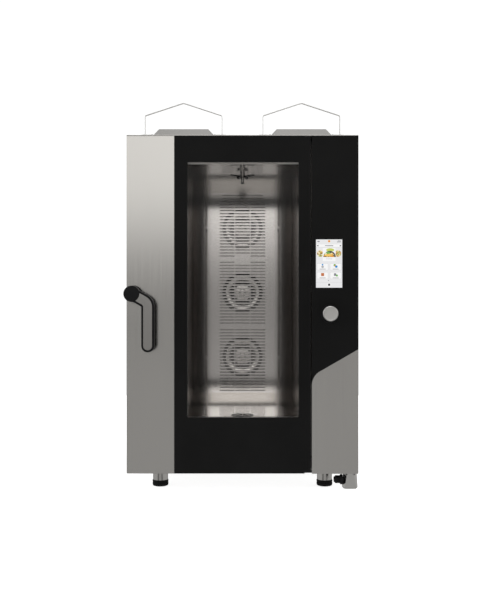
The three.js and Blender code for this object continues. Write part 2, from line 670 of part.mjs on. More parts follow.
export default oven;
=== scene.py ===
# %% [markdown]
# # A combi steamer oven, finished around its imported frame
# The frame holds every metal sheet, glass, fan and hinge at its real size. This lesson
# loads it, lights it like a small product studio, gives each piece its finish, and swaps
# the coarse round pieces for smooth ones. Everything is in metres, with Z up, the door
# facing -Y and the floor at zero.

# %% Load the frame
import json
import math
import bmesh
import bpy
from mathutils import Matrix, Vector


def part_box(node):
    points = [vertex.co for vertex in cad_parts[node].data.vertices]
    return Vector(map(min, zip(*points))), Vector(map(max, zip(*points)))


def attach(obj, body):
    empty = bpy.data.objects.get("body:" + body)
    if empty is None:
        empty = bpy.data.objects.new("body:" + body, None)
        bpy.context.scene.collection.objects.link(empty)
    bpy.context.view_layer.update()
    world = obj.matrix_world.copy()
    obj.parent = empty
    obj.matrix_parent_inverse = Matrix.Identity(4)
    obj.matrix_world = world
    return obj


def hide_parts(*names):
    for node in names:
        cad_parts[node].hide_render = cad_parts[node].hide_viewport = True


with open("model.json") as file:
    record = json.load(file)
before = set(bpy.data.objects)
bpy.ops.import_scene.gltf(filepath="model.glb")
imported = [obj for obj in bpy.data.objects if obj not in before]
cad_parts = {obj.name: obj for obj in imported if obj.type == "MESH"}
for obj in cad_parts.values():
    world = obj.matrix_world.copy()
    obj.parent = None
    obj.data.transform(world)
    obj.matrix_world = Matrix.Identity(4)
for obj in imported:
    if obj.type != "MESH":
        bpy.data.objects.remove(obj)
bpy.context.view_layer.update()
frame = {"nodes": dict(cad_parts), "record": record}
nodes = frame["nodes"]
MM = 0.001

# %% [markdown]
# ## Places
# Each new piece takes its place from the frame piece that it stands for. This helper gives
# a piece's lowest corner, highest corner and middle, so that no position is typed twice.

# %% Ask the frame where a piece is
def place(name):
    low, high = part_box(name)
    return low, high, (low + high) / 2


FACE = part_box("door_glass")[0].y  # the front plane that the glass lies in
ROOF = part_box("roof_panel")[1].z
print("front plane at", round(FACE, 4), "and roof at", round(ROOF, 4))

# %% [markdown]
# ## Camera
# A level camera looks straight at the door from half the oven's height, about two and a
# half metres away. That keeps every upright line upright, and the short distance still
# lets the cavity shrink towards the back.

# %% Set up the camera
EYE_HEIGHT = 0.6212
EYE_DISTANCE = 2.6  # from the door's glass
FOCAL_MM, SENSOR_MM = 48.26, 36
LEVEL = math.radians(90)  # a new camera looks down, so it turns up to the horizon
camera = bpy.data.objects.new("camera", bpy.data.cameras.new("camera"))
camera.data.sensor_width = SENSOR_MM
camera.data.lens = FOCAL_MM
camera.location = (0, FACE - EYE_DISTANCE, EYE_HEIGHT)
camera.rotation_euler = (LEVEL, 0, 0)
bpy.context.scene.collection.objects.link(camera)
bpy.context.scene.camera = camera
print("camera", [round(v, 3) for v in camera.location])

# %% [markdown]
# ## Studio
# Stainless steel shows what is in front of it, so the studio matters more than the lamps.
# A world that is bright above eye level and dim below gives the upright steel its long
# fade from light at the top to grey at the bottom. Two dim bands, left and right of the
# middle, give round pieces their dark flanks. The camera itself sees plain white.

# %% Build the world
LOWEST, HIGHEST = -0.4, 0.6  # the part of the sky that the ramp covers, as a slope in Z
SKY = ((0.0, 0.335), (0.28, 0.345), (0.41, 0.255), (0.545, 1.03), (0.62, 1.02), (1.0, 0.62))
FLANKS = ((0.0, 1.15), (0.17, 1.1), (0.23, 0.36), (0.30, 0.36), (0.40, 1.0), (0.60, 1.0),
          (0.71, 0.42), (0.77, 0.42), (0.84, 1.1), (1.0, 1.15))
WARMTH = (1, 0.995, 0.985)
BACKDROP = 1.05


def grey_ramp(made, links, value, low, high, stops):
    """Greys at set places on a scale from low to high, read at value."""
    scale = made.new("ShaderNodeMapRange")
    scale.inputs["From Min"].default_value = low
    scale.inputs["From Max"].default_value = high
    ramp = made.new("ShaderNodeValToRGB")
    bands = ramp.color_ramp
    bands.interpolation = "EASE"
    for end, (position, grey) in zip(bands.elements, (stops[0], stops[-1])):
        end.position, end.color = position, (grey, grey, grey, 1)
    for position, grey in stops[1:-1]:
        bands.elements.new(position).color = (*(grey * w for w in WARMTH), 1)
    links.new(value, scale.inputs["Value"])
    links.new(scale.outputs[0], ramp.inputs["Fac"])
    return ramp.outputs["Color"]


def build_world():
    world = bpy.data.worlds.new("studio")
    bpy.context.scene.world = world
    world.use_nodes = True
    made, links = world.node_tree.nodes, world.node_tree.links
    made.clear()
    direction = made.new("ShaderNodeTexCoord")
    split = made.new("ShaderNodeSeparateXYZ")
    links.new(direction.outputs["Generated"], split.inputs[0])
    height = grey_ramp(made, links, split.outputs["Z"], LOWEST, HIGHEST, SKY)
    flank = grey_ramp(made, links, split.outputs["X"], -1, 1, FLANKS)
    both = made.new("ShaderNodeMix")
    both.data_type = "RGBA"
    both.blend_type = "MULTIPLY"
    both.inputs[0].default_value = 1.0
    links.new(height, both.inputs[6])
    links.new(flank, both.inputs[7])
    room = made.new("ShaderNodeBackground")
    white = made.new("ShaderNodeBackground")
    white.inputs["Color"].default_value = (1, 1, 1, 1)
    white.inputs["Strength"].default_value = BACKDROP
    seen = made.new("ShaderNodeLightPath")
    mix = made.new("ShaderNodeMixShader")
    out = made.new("ShaderNodeOutputWorld")
    links.new(both.outputs[2], room.inputs["Color"])
    links.new(seen.outputs["Is Camera Ray"], mix.inputs["Fac"])
    links.new(room.outputs[0], mix.inputs[1])
    links.new(white.outputs[0], mix.inputs[2])
    links.new(mix.outputs[0], out.inputs["Surface"])


build_world()
bpy.context.scene.view_settings.view_transform = "Standard"
print("world: bright above eye level, dim below, with two dim flanks")

# %% [markdown]
# ## Lamps and floor
# Three large soft lamps stand in for studio softboxes: one above and in front, one to the
# left and one behind. Area lamps are used, because a bare point of light would put a hard
# spot on the steel. The floor is a pale round table that mirrors don't see, so the lower
# half of the steel shows the dim half of the room instead.

# %% Add lamps and the floor
def softbox(name, where, aim, size, power):
    lamp = bpy.data.lights.new(name, "AREA")
    lamp.shape = "RECTANGLE"
    lamp.size, lamp.size_y = size
    lamp.energy = power
    holder = bpy.data.objects.new(name, lamp)
    holder.location = where
    holder.rotation_euler = (Vector(aim) - Vector(where)).to_track_quat("-Z", "Y").to_euler()
    bpy.context.scene.collection.objects.link(holder)
    return holder


softbox("top_softbox", (0, -1.0, 3.1), (0, 0, 0.6), (2.2, 1.6), 13)
softbox("left_softbox", (-2.6, -1.6, 1.9), (0, 0, 0.7), (1.2, 1.8), 8)
softbox("rear_softbox", (1.6, 3.0, 2.4), (0, 0.3, 0.6), (1.8, 1.8), 8)

FLOOR_RADIUS = 2.4
FLOOR_DROP = 0.0004  # keeps the floor just clear of the pads


def build_floor():
    mesh = bpy.data.meshes.new("floor")
    shape = bmesh.new()
    bmesh.ops.create_circle(shape, cap_ends=True, segments=128, radius=FLOOR_RADIUS)
    shape.to_mesh(mesh)
    shape.free()
    floor = bpy.data.objects.new("floor", mesh)
    floor.location.z = -FLOOR_DROP
    bpy.context.scene.collection.objects.link(floor)
    floor.visible_glossy = False
    return floor


floor = build_floor()
print("studio: 3 lamps and a floor", 2 * FLOOR_RADIUS, "m across")

# %% [markdown]
# ## How a finish is built
# Every finish starts from one Principled shader. Noise that is stretched along one axis
# makes sheet grain, plain noise makes moulded texture, and very wide, faint noise makes the
# slight unevenness that a wiped kitchen surface has. These helpers keep each finish short.

# %% Helpers for finishes
NOISE_LOW, NOISE_HIGH = 0.3, 0.7  # noise rarely leaves this range


class Finish:
    """A material with its node tree and a few short ways to wire it."""

    def __init__(self, name, color, rough, metal=0.0, specular=0.5):
        self.material = bpy.data.materials.new(name)
        self.material.use_nodes = True
        self.made = self.material.node_tree.nodes
        self.links = self.material.node_tree.links
        self.shader = self.made["Principled BSDF"]
        self.color, self.rough = color, rough
        self.shader.inputs["Base Color"].default_value = (*color, 1)
        self.shader.inputs["Roughness"].default_value = rough
        self.shader.inputs["Metallic"].default_value = metal
        self.shader.inputs["Specular IOR Level"].default_value = specular
        self.coords = self.made.new("ShaderNodeTexCoord")

    def noise(self, scale, detail=3.0):
        """Noise whose grain size is set apart for X, Y and Z, in repeats per metre."""
        stretch = self.made.new("ShaderNodeMapping")
        stretch.inputs["Scale"].default_value = scale
        texture = self.made.new("ShaderNodeTexNoise")
        texture.inputs["Scale"].default_value = 1.0
        texture.inputs["Detail"].default_value = detail
        self.links.new(self.coords.outputs["Object"], stretch.inputs["Vector"])
        self.links.new(stretch.outputs[0], texture.inputs["Vector"])
        return texture.outputs["Fac"]

    def spread(self, source, low, high):
        """Maps noise, which stays near its middle, onto the range from low to high."""
        scale = self.made.new("ShaderNodeMapRange")
        scale.inputs["From Min"].default_value = NOISE_LOW
        scale.inputs["From Max"].default_value = NOISE_HIGH
        scale.inputs["To Min"].default_value = low
        scale.inputs["To Max"].default_value = high
        self.links.new(source, scale.inputs["Value"])
        return scale.outputs[0]

    def sum(self, first, second):
        plus = self.made.new("ShaderNodeMath")
        plus.operation = "ADD"
        self.links.new(first, plus.inputs[0])
        self.links.new(second, plus.inputs[1])
        return plus.outputs[0]

    def shade(self, source, amount):
        """Lets source lighten and darken the base colour by amount either way."""
        mix = self.made.new("ShaderNodeMix")
        mix.data_type = "RGBA"
        mix.inputs[6].default_value = (*(c * (1 - amount) for c in self.color), 1)
        mix.inputs[7].default_value = (*(min(1, c * (1 + amount)) for c in self.color), 1)
        self.links.new(self.spread(source, 0, 1), mix.inputs[0])
        self.links.new(mix.outputs[2], self.shader.inputs["Base Color"])

    def roughen(self, value):
        self.links.new(value, self.shader.inputs["Roughness"])

    def bump(self, source, height_mm, strength=1.0):
        node = self.made.new("ShaderNodeBump")
        node.inputs["Distance"].default_value = height_mm * MM
        node.inputs["Strength"].default_value = strength
        self.links.new(source, node.inputs["Height"])
        self.links.new(node.outputs[0], self.shader.inputs["Normal"])


# %% [markdown]
# ## Stainless steel
# The sheets are brushed: thousands of fine scratches that run one way. Noise squeezed hard
# across the grain and left long along it gives that, in colour, in roughness and in a very
# shallow bump. One function makes every steel, with the grain along the axis it is given.

# %% Make the steels
GRAIN_LONG = 5  # repeats per metre along a scratch
WIPE_MARKS = (2.2, 2.2, 1.6)
GRAIN_SHADE, GRAIN_ROUGH, GRAIN_DEPTH_MM = 0.03, 0.035, 0.02


def brushed(name, color, rough, grain, fine=1400, wipe=0.05, groove=0.2):
    """Sheet steel: fine scratches per metre, wipe for cloth marks, groove for their bump."""
    finish = Finish(name, color, rough, metal=1.0)
    scale = [fine] * 3
    scale["XYZ".index(grain)] = GRAIN_LONG
    lines = finish.noise(scale, 2.0)
    marks = finish.noise(WIPE_MARKS, 2.0)
    finish.shade(lines, GRAIN_SHADE)
    even = finish.spread(lines, rough - GRAIN_ROUGH, rough + GRAIN_ROUGH)
    finish.roughen(finish.sum(even, finish.spread(marks, -wipe, wipe)))
    finish.bump(lines, GRAIN_DEPTH_MM, groove)
    return finish.material


WARM_STEEL = (0.69, 0.675, 0.65)
front_steel = brushed("front_steel", WARM_STEEL, 0.17, "Z", wipe=0.015, groove=0.1)
flat_steel = brushed("flat_steel", (0.50, 0.495, 0.485), 0.34, "X")
deep_steel = brushed("deep_steel", WARM_STEEL, 0.34, "Y")
bright_steel = brushed("bright_steel", (0.80, 0.79, 0.77), 0.2, "X", fine=1800)
hoop_steel = brushed("hoop_steel", (0.95, 0.945, 0.93), 0.5, "X", fine=1800)
lever_steel = brushed("lever_steel", (0.41, 0.40, 0.385), 0.33, "Z", fine=2600)
print("steels:", [m.name for m in bpy.data.materials if "steel" in m.name])

# %% [markdown]
# ## Painted shade in the cavity
# The cavity's steel carries painted shade. Its colour turns a dull dark brown towards the side
# walls, where the light falls off. It also turns partly dark behind the air baffle's sheet, where
# the fans sit in shade. The shade is a ramp over the sheet's own place: the middle stays bright,
# and it darkens towards the walls.

# %% Make the cavity's steels
# Where the painted shade starts and where it is full, measured off the middle of the cavity.
SHADE_START, SHADE_END = 0.118, 0.185  # distance from the middle of the cavity, in metres
BAFFLE_SHEET = 0.0285  # how far behind the baffle's front edge its slotted sheet ends
BAFFLE_BACK = place("air_baffle")[0].y + BAFFLE_SHEET


def shade_painted(name, color, rough, grain, shade_color, behind=None, recess_shade=0.36):
    """Cavity steel whose colour darkens with painted shade at the sides, and partly behind a plane.
    """
    material = brushed(name, color, rough, grain, fine=900, wipe=0.015, groove=0.12)
    made, links = material.node_tree.nodes, material.node_tree.links
    shader = made["Principled BSDF"]
    old = shader.inputs["Base Color"].links[0].from_socket
    coords = made.new("ShaderNodeTexCoord")
    split = made.new("ShaderNodeSeparateXYZ")
    links.new(coords.outputs["Object"], split.inputs[0])
    away = made.new("ShaderNodeMath")
    away.operation = "ABSOLUTE"
    links.new(split.outputs["X"], away.inputs[0])
    side = made.new("ShaderNodeMapRange")
    side.interpolation_type = "SMOOTHSTEP"
    side.inputs["From Min"].default_value = SHADE_START
    side.inputs["From Max"].default_value = SHADE_END
    links.new(away.outputs[0], side.inputs["Value"])
    share = side.outputs[0]
    if behind is not None:
        deep = made.new("ShaderNodeMath")
        deep.operation = "GREATER_THAN"
        deep.inputs[1].default_value = behind
        links.new(split.outputs["Y"], deep.inputs[0])
        recess_share = made.new("ShaderNodeMath")
        recess_share.operation = "MULTIPLY"
        recess_share.inputs[1].default_value = recess_shade
        links.new(deep.outputs[0], recess_share.inputs[0])
        both = made.new("ShaderNodeMath")
        both.operation = "MAXIMUM"
        links.new(share, both.inputs[0])
        links.new(recess_share.outputs[0], both.inputs[1])
        share = both.outputs[0]
    # The painted shade is mixed over the steel's grain colour.
    mix = made.new("ShaderNodeMix")
    mix.data_type = "RGBA"
    mix.inputs[7].default_value = (*shade_color, 1)
    links.new(share, mix.inputs[0])
    links.new(old, mix.inputs[6])
    links.new(mix.outputs[2], shader.inputs["Base Color"])
    return material


# The dark brown of the painted shade at the walls. The side walls' darker base colour is painted
# shade as well.
SHADE_BROWN = (0.105, 0.091, 0.081)
cavity_steel = shade_painted("cavity_steel", (0.92, 0.90, 0.87), 0.14, "Y", SHADE_BROWN)
wall_steel = shade_painted("wall_steel", (0.38, 0.345, 0.32), 0.22, "Z", SHADE_BROWN)
baffle_steel = shade_painted("baffle_steel", (0.82, 0.812, 0.805), 0.12, "Z", SHADE_BROWN, BAFFLE_BACK)
back_steel = shade_painted("back_steel", (0.76, 0.74, 0.715), 0.16, "X", SHADE_BROWN)
fan_steel = brushed("fan_steel", (0.80, 0.79, 0.77), 0.15, "X", fine=900, wipe=0.02,
                    groove=0.1)
print("cavity steels tinted from", SHADE_START, "to", SHADE_END, "m off the middle")

# %% [markdown]
# ## Glass
# The front glass is printed black from behind, so it is a deep near-black with a calm gloss.
# The window is clear. Light has to pass straight through it to show the cavity, so it is a
# clear shader with a little mirror laid over it, stronger towards the edges of the view.

# %% Make the glasses
def printed_glass():
    finish = Finish("printed_glass", (0.0085, 0.0085, 0.0085), 0.07, specular=0.04)
    smudge = finish.noise((3.0, 3.0, 4.5), 4.0)
    finish.shade(finish.noise((9, 9, 9), 2.0), 0.08)
    finish.roughen(finish.spread(smudge, 0.05, 0.12))
    return finish.material


FILM_UNEVEN = 0.3  # how much the thin film on a pane varies


def clear_glass(name, tint, share):
    """A pane that lets light through by tint and mirrors share of what real glass does."""
    material = bpy.data.materials.new(name)
    material.use_nodes = True
    made, links = material.node_tree.nodes, material.node_tree.links
    made.clear()
    through = made.new("ShaderNodeBsdfTransparent")
    through.inputs["Color"].default_value = (*tint, 1)
    mirror = made.new("ShaderNodeBsdfGlossy")
    mirror.inputs["Roughness"].default_value = 0.03
    mirror.inputs["Color"].default_value = (1, 1, 1, 1)
    edge = made.new("ShaderNodeFresnel")
    edge.inputs["IOR"].default_value = 1.45
    film = made.new("ShaderNodeTexNoise")
    film.inputs["Scale"].default_value = 5.0
    weaken = made.new("ShaderNodeMapRange")
    weaken.inputs["To Min"].default_value = share * (1 - FILM_UNEVEN)
    weaken.inputs["To Max"].default_value = share * (1 + FILM_UNEVEN)
    times = made.new("ShaderNodeMath")
    times.operation = "MULTIPLY"
    mix = made.new("ShaderNodeMixShader")
    out = made.new("ShaderNodeOutputMaterial")
    links.new(film.outputs["Fac"], weaken.inputs["Value"])
    links.new(edge.outputs[0], times.inputs[0])
    links.new(weaken.outputs[0], times.inputs[1])
    links.new(times.outputs[0], mix.inputs["Fac"])
    links.new(through.outputs[0], mix.inputs[1])
    links.new(mirror.outputs[0], mix.inputs[2])
    links.new(mix.outputs[0], out.inputs["Surface"])
    return material


black_glass = printed_glass()
front_pane = clear_glass("front_pane", (0.99, 0.985, 0.982), 0.15)
inner_pane = clear_glass("inner_pane", (0.99, 0.987, 0.985), 0.1)
print("glasses ready")

# %% [markdown]
# ## Plastics, rubber, paint and lamp
# Moulded plastic has a fine pebble from its tool, rubber is duller with a dusty unevenness,
# and painted steel has the orange-peel of sprayed paint. Each is a pair of noises, one for
# the surface and one for the colour.

# %% Make the other finishes
PEBBLE_ROUGH = 0.06


def moulded(name, color, rough, pebble=900, height=0.05, vary=0.12, specular=0.5):
    finish = Finish(name, color, rough, specular=specular)
    grain = finish.noise((pebble,) * 3, 2.0)
    finish.shade(finish.noise((14, 14, 14), 3.0), vary)
    finish.roughen(finish.spread(grain, rough - PEBBLE_ROUGH, rough + PEBBLE_ROUGH))
    finish.bump(grain, height, 0.5)
    return finish.material


LATHE_RINGS = 4200  # per metre of radius


def turned_metal(name, color, rough, centre):
    """Fine rings cut by a lathe around a point, for a face that looks along Y."""
    finish = Finish(name, color, rough, metal=1.0)
    shift = finish.made.new("ShaderNodeMapping")
    shift.inputs["Location"].default_value = (-centre.x, 0, -centre.z)
    shift.inputs["Scale"].default_value = (1, 0, 1)
    length = finish.made.new("ShaderNodeVectorMath")
    length.operation = "LENGTH"
    rings = finish.made.new("ShaderNodeTexNoise")
    rings.noise_dimensions = "1D"
    rings.inputs["Scale"].default_value = LATHE_RINGS
    finish.links.new(finish.coords.outputs["Object"], shift.inputs["Vector"])
    finish.links.new(shift.outputs[0], length.inputs[0])
    finish.links.new(length.outputs["Value"], rings.inputs["W"])
    finish.shade(rings.outputs["Fac"], 0.05)
    ringed = finish.spread(rings.outputs["Fac"], rough - PEBBLE_ROUGH, rough + PEBBLE_ROUGH)
    finish.roughen(ringed)
    finish.bump(rings.outputs["Fac"], 0.01, 0.4)
    return finish.material


black_plastic = moulded("black_plastic", (0.008, 0.008, 0.0085), 0.42,
                        specular=0.12)
# Near-black painted shade, for the fans' blades and back discs and for the drain's well.
shade_black = moulded("shade_black", (0.004, 0.004, 0.004), 0.8, pebble=500, vary=0.3)
dark_plastic = moulded("dark_plastic", (0.010, 0.010, 0.010), 0.5, specular=0.3)
rubber = moulded("rubber", (0.004, 0.004, 0.004), 0.75, pebble=600, height=0.08, vary=0.25,
                 specular=0.25)
seal_rubber = moulded("seal_rubber", (0.012, 0.0115, 0.011), 0.6, pebble=400, vary=0.2)
dark_paint = moulded("dark_paint", (0.020, 0.020, 0.021), 0.45, pebble=300, height=0.1)
mineral_wool = moulded("mineral_wool", (0.50, 0.44, 0.27), 0.95, pebble=160, height=1.2)
screw_steel = moulded("screw_steel", (0.10, 0.10, 0.10), 0.35, pebble=1500, height=0.02)
screw_steel.node_tree.nodes["Principled BSDF"].inputs["Metallic"].default_value = 1.0
knob_metal = turned_metal("knob_metal", (0.72, 0.71, 0.69), 0.36, place("knob_cap")[2])
print("finishes:", len(bpy.data.materials))

# %% [markdown]
# ## The floor's finish
# The floor is a matt pale board. It glows a little of its own light, because a studio
# lights its floor until the shadows almost vanish, and faint wide noise keeps it alive.

# %% Finish the floor
FLOOR_GLOW = 0.85
pale = Finish("pale_board", (0.93, 0.93, 0.93), 0.8)
pale.shader.inputs["Emission Color"].default_value = (1, 1, 1, 1)
pale.shader.inputs["Emission Strength"].default_value = FLOOR_GLOW
pale.shade(pale.noise((1.5, 1.5, 1.5), 3.0), 0.01)
floor.data.materials.append(pale.material)
print("floor finished")

# %% [markdown]
# ## Carried pieces
# A frame piece with the right shape stays. It only needs its finish and softly broken
# edges, because no folded sheet has a knife edge and a thin highlight along a bend is what
# makes steel look like steel. The edges could be cut into the mesh, but a bevel modifier
# leaves the frame's own mesh untouched.

# %% Carry pieces over with a finish and a bevel
WELD_REACH = 1e-5
FOLD = math.radians(40)  # a sharper turn than this is an edge


def carry(name, material, edge_mm=0.0):
    """Gives a frame piece its finish, joined corners and softened edges."""
    piece = nodes[name]
    piece.data.materials.clear()
    piece.data.materials.append(material)
    normals = piece.data.attributes.get("custom_normal")
    if normals:
        piece.data.attributes.remove(normals)
    weld = piece.modifiers.new("weld", "WELD")
    weld.merge_threshold = WELD_REACH
    if edge_mm:
        bevel = piece.modifiers.new("edges", "BEVEL")
        bevel.width = edge_mm * MM
        bevel.segments = 3
        bevel.limit_method = "ANGLE"
        bevel.angle_limit = FOLD
    return piece


carried = {
    "door_side_cover": (front_steel, 1.0),
    "lower_front_panel": (front_steel, 0.6),
    "side_panel_left": (front_steel, 0.5),
    "side_panel_right": (front_steel, 0.5),
    "roof_panel": (deep_steel, 0.8),
    "rear_panel": (front_steel, 0.5),
    "base_tray": (flat_steel, 0.6),
    "front_frame": (front_steel, 0.6),
    "door_frame": (dark_paint, 0.6),
    "door_glass": (black_glass, 0.3),
    "control_glass": (black_glass, 0.3),
    "door_window": (front_pane, 0),
    "door_inner_glass": (inner_pane, 0),
    "air_baffle": (baffle_steel, 0.3),
    "cavity_ceiling": (cavity_steel, 0),
    "cavity_floor": (cavity_steel, 0),
    "cavity_wall_left": (wall_steel, 0),
    "cavity_wall_right": (wall_steel, 0),
    "cavity_back": (back_steel, 0),
    "cavity_insulation": (mineral_wool, 0),
    "vent_cowl_left": (flat_steel, 1.2),
    "vent_cowl_right": (flat_steel, 1.2),
    "hinge_post": (dark_paint, 0.4),
    "steam_generator": (flat_steel, 1.5),
    "control_board": (dark_plastic, 1.5),
    "wash_feed_pipe": (bright_steel, 0),
    "drain_pipe": (dark_plastic, 0),
    "water_inlet": (bright_steel, 0.4),
    "cable_gland": (dark_plastic, 0.4),
    "knob_shaft": (knob_metal, 0),
}
for turn in ("upper", "middle", "lower"):
    carried["fan_motor_" + turn] = (dark_paint, 0.8)
    carried["heater_ring_" + turn] = (dark_paint, 0)
for name, (material, edge_mm) in carried.items():
    carry(name, material, edge_mm)
print("carried", len(carried), "frame pieces")

# %% [markdown]
# ## Building new pieces
# Some frame pieces are too coarse to be seen from close by, and a new piece takes over.
# It rides on the body of the frame piece it stands for, and hides it. One helper does all of this,
# so that no piece can be left behind when the door opens.

# %% Helper that finishes a new piece
body_of_node = {n: b for b, ns in frame["record"]["behaviour"]["bodies"].items() for n in ns}
CREASE = math.radians(35)  # a softer turn than this is shaded smooth


def finish_piece(name, shape, material, like, hides=(), edge_mm=0.0, steps=3, smooth=True):
    """Turns a bmesh into a piece that rides where the frame piece named like rides."""
    mesh = bpy.data.meshes.new(name)
    bmesh.ops.recalc_face_normals(shape, faces=shape.faces)
    shape.to_mesh(mesh)
    shape.free()
    if smooth:
        mesh.shade_smooth()
        mesh.set_sharp_from_angle(angle=CREASE)
    for one in material if isinstance(material, (list, tuple)) else [material]:
        mesh.materials.append(one)
    piece = bpy.data.objects.new(name, mesh)
    bpy.context.scene.collection.objects.link(piece)
    if edge_mm:
        bevel = piece.modifiers.new("edges", "BEVEL")
        bevel.width = edge_mm * MM
        bevel.segments = steps
        bevel.limit_method = "ANGLE"
        bevel.angle_limit = CREASE
        bevel.harden_normals = True
    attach(piece, body_of_node[like])
    if hides:
        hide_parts(*hides)
    return piece


# %% [markdown]
# ## Turned shapes
# Round pieces are turned from a profile, as on a lathe. Blender's screw modifier could do
# it, but writing the rings directly lets several turned parts share one mesh and each part
# have its own finish. A second helper rounds the corners of a profile with short arcs.

# %% Helpers for turned shapes
def turn_into(shape, profile, centre, axis="Z", sides=64, material_index=0):
    """Adds a turned solid to shape. profile is [radius, distance along the axis] pairs."""
    across = {"X": ((0, 1, 0), (0, 0, 1), (1, 0, 0)), "Y": ((0, 0, 1), (1, 0, 0), (0, 1, 0)),
              "Z": ((1, 0, 0), (0, 1, 0), (0, 0, 1))}[axis]
    u, v, w = (Vector(a) for a in across)
    rings = []
    for radius, along in profile:
        base = Vector(centre) + w * along
        if radius < 1e-7:
            rings.append([shape.verts.new(base)])
            continue
        angles = (2 * math.pi * i / sides for i in range(sides))
        rings.append([shape.verts.new(base + (u * math.cos(a) + v * math.sin(a)) * radius)
                      for a in angles])
    for near, far in zip(rings, rings[1:]):
        for i in range(sides):
            j = (i + 1) % sides
            if len(near) == 1 and len(far) == 1:
                continue
            if len(near) == 1:
                corners = (near[0], far[i], far[j])
            elif len(far) == 1:
                corners = (near[i], far[0], near[j])
            else:
                corners = (near[i], far[i], far[j], near[j])
            shape.faces.new(corners).material_index = material_index


def rounded(profile, radius, steps=4):
    """Rounds every corner of an open profile between its two ends."""
    points = [Vector(p) for p in profile]
    made = [points[0]]
    for before, corner, after in zip(points, points[1:], points[2:]):
        a, b = (before - corner), (after - corner)
        reach = min(radius, a.length * 0.48, b.length * 0.48)
        start, end = corner + a.normalized() * reach, corner + b.normalized() * reach
        for i in range(steps + 1):
            t = i / steps
            made.append(start * (1 - t) ** 2 + corner * 2 * t * (1 - t) + end * t * t)
    made.append(points[-1])
    return [tuple(p) for p in made]


print("lathe ready")

# %% [markdown]
# ## Flat shapes
# Flat pieces are cut from an outline, as from sheet, and given a thickness. A plain box is
# the same thing with four corners. Both add to a mesh that may already hold other parts.

# %% Helpers for flat shapes
def cut_into(shape, outline, front, back, material_index=0):
    """Adds a flat piece with an outline in X and Z and a thickness from front to back."""
    rows = [[shape.verts.new((x, y, z)) for x, z in outline] for y in (front, back)]
    shape.faces.new(rows[0]).material_index = material_index
    shape.faces.new(rows[1][::-1]).material_index = material_index
    count = len(outline)
    for i in range(count):
        j = (i + 1) % count
        corners = (rows[0][i], rows[1][i], rows[1][j], rows[0][j])
        shape.faces.new(corners).material_index = material_index


def box_into(shape, low, high, material_index=0):
    """Adds a box between two opposite corners."""
    outline = [(low[0], low[2]), (high[0], low[2]), (high[0], high[2]), (low[0], high[2])]
    cut_into(shape, outline, low[1], high[1], material_index)


print("sheet cutter ready")

# %% [markdown]
# ## Screws
# Pan-head screws hold the hoops, the shower holder, the panels and the base. Cutting a
# cross into each would cost many faces for something this small. A low turned dome with a
# round recess reads well at any distance, and one function drives them all.

# %% Helper for screws
def screw_into(shape, centre, axis, outward, radius_mm=4.0, material_index=0):
    """Adds a screw head at centre. outward is 1 or -1 along the axis."""
    r = radius_mm * MM
    head = [(0, 0.10 * r), (0.45 * r, 0.10 * r), (0.5 * r, 0.52 * r), (0.72 * r, 0.5 * r),
            (0.95 * r, 0.28 * r), (r, 0), (0, 0)]
    profile = [(radius, along * outward) for radius, along in head]
    turn_into(shape, profile, centre, axis, sides=18, material_index=material_index)


print("screws ready")

# %% [markdown]
# ## Door handle
# The lever is one black moulding: a round boss, an arm that leaves it downwards to the
# right, a bend, and a straight grip with a round end. A satin steel strip is let into its
# front. The lever could be swept along a curve, but then its flat front would be hard to
# keep. Here the arm's outline is two straight runs joined by an arc, offset to both sides,
# so the black part and the steel strip are the same outline at two widths.

# %% Outline of the lever
def handle_outline(boss, half_width, start, bend_x, bottom, slope, bend_radius):
    """Corners of the lever's outline in X and Z, from start past the boss to bottom."""
    turn = math.pi / 2 + slope
    bend_z = (bend_x - boss.x) * math.tan(slope)
    centre = Vector((bend_x - bend_radius, boss.z + bend_z - bend_radius * math.tan(turn / 2)))
    along = Vector((math.cos(slope), math.sin(slope)))
    across = Vector((-along.y, along.x))

    def side(offset, steps=14):
        first = Vector((boss.x, boss.z)) + along * start + across * offset
        points = [first]
        for i in range(steps + 1):
            angle = turn * (1 - i / steps)
            radius = bend_radius + offset
            points.append(centre + Vector((math.cos(angle), math.sin(angle))) * radius)
        points.append(Vector((bend_x + offset, bottom)))
        return points

    end = [Vector((bend_x + half_width * math.cos(a), bottom + half_width * math.sin(a)))
           for a in (-math.pi * i / 20 for i in range(1, 20))]
    return [tuple(p) for p in side(half_width) + end + side(-half_width)[::-1]]


print("lever outline ready")

# %% Build the handle
BOSS, GRIP_OFF, GRIP_END = 25.6 * MM, 51.2 * MM, 21 * MM
ARM_HALF, STRIP_HALF = 20.6 * MM, 14 * MM
ARM_FRONT, ARM_BACK = 58 * MM, 36 * MM  # how far the arm stands off the glass
BOSS_FRONT = 60 * MM
SPINDLE, SPINDLE_LONG = 6.5 * MM, 58 * MM


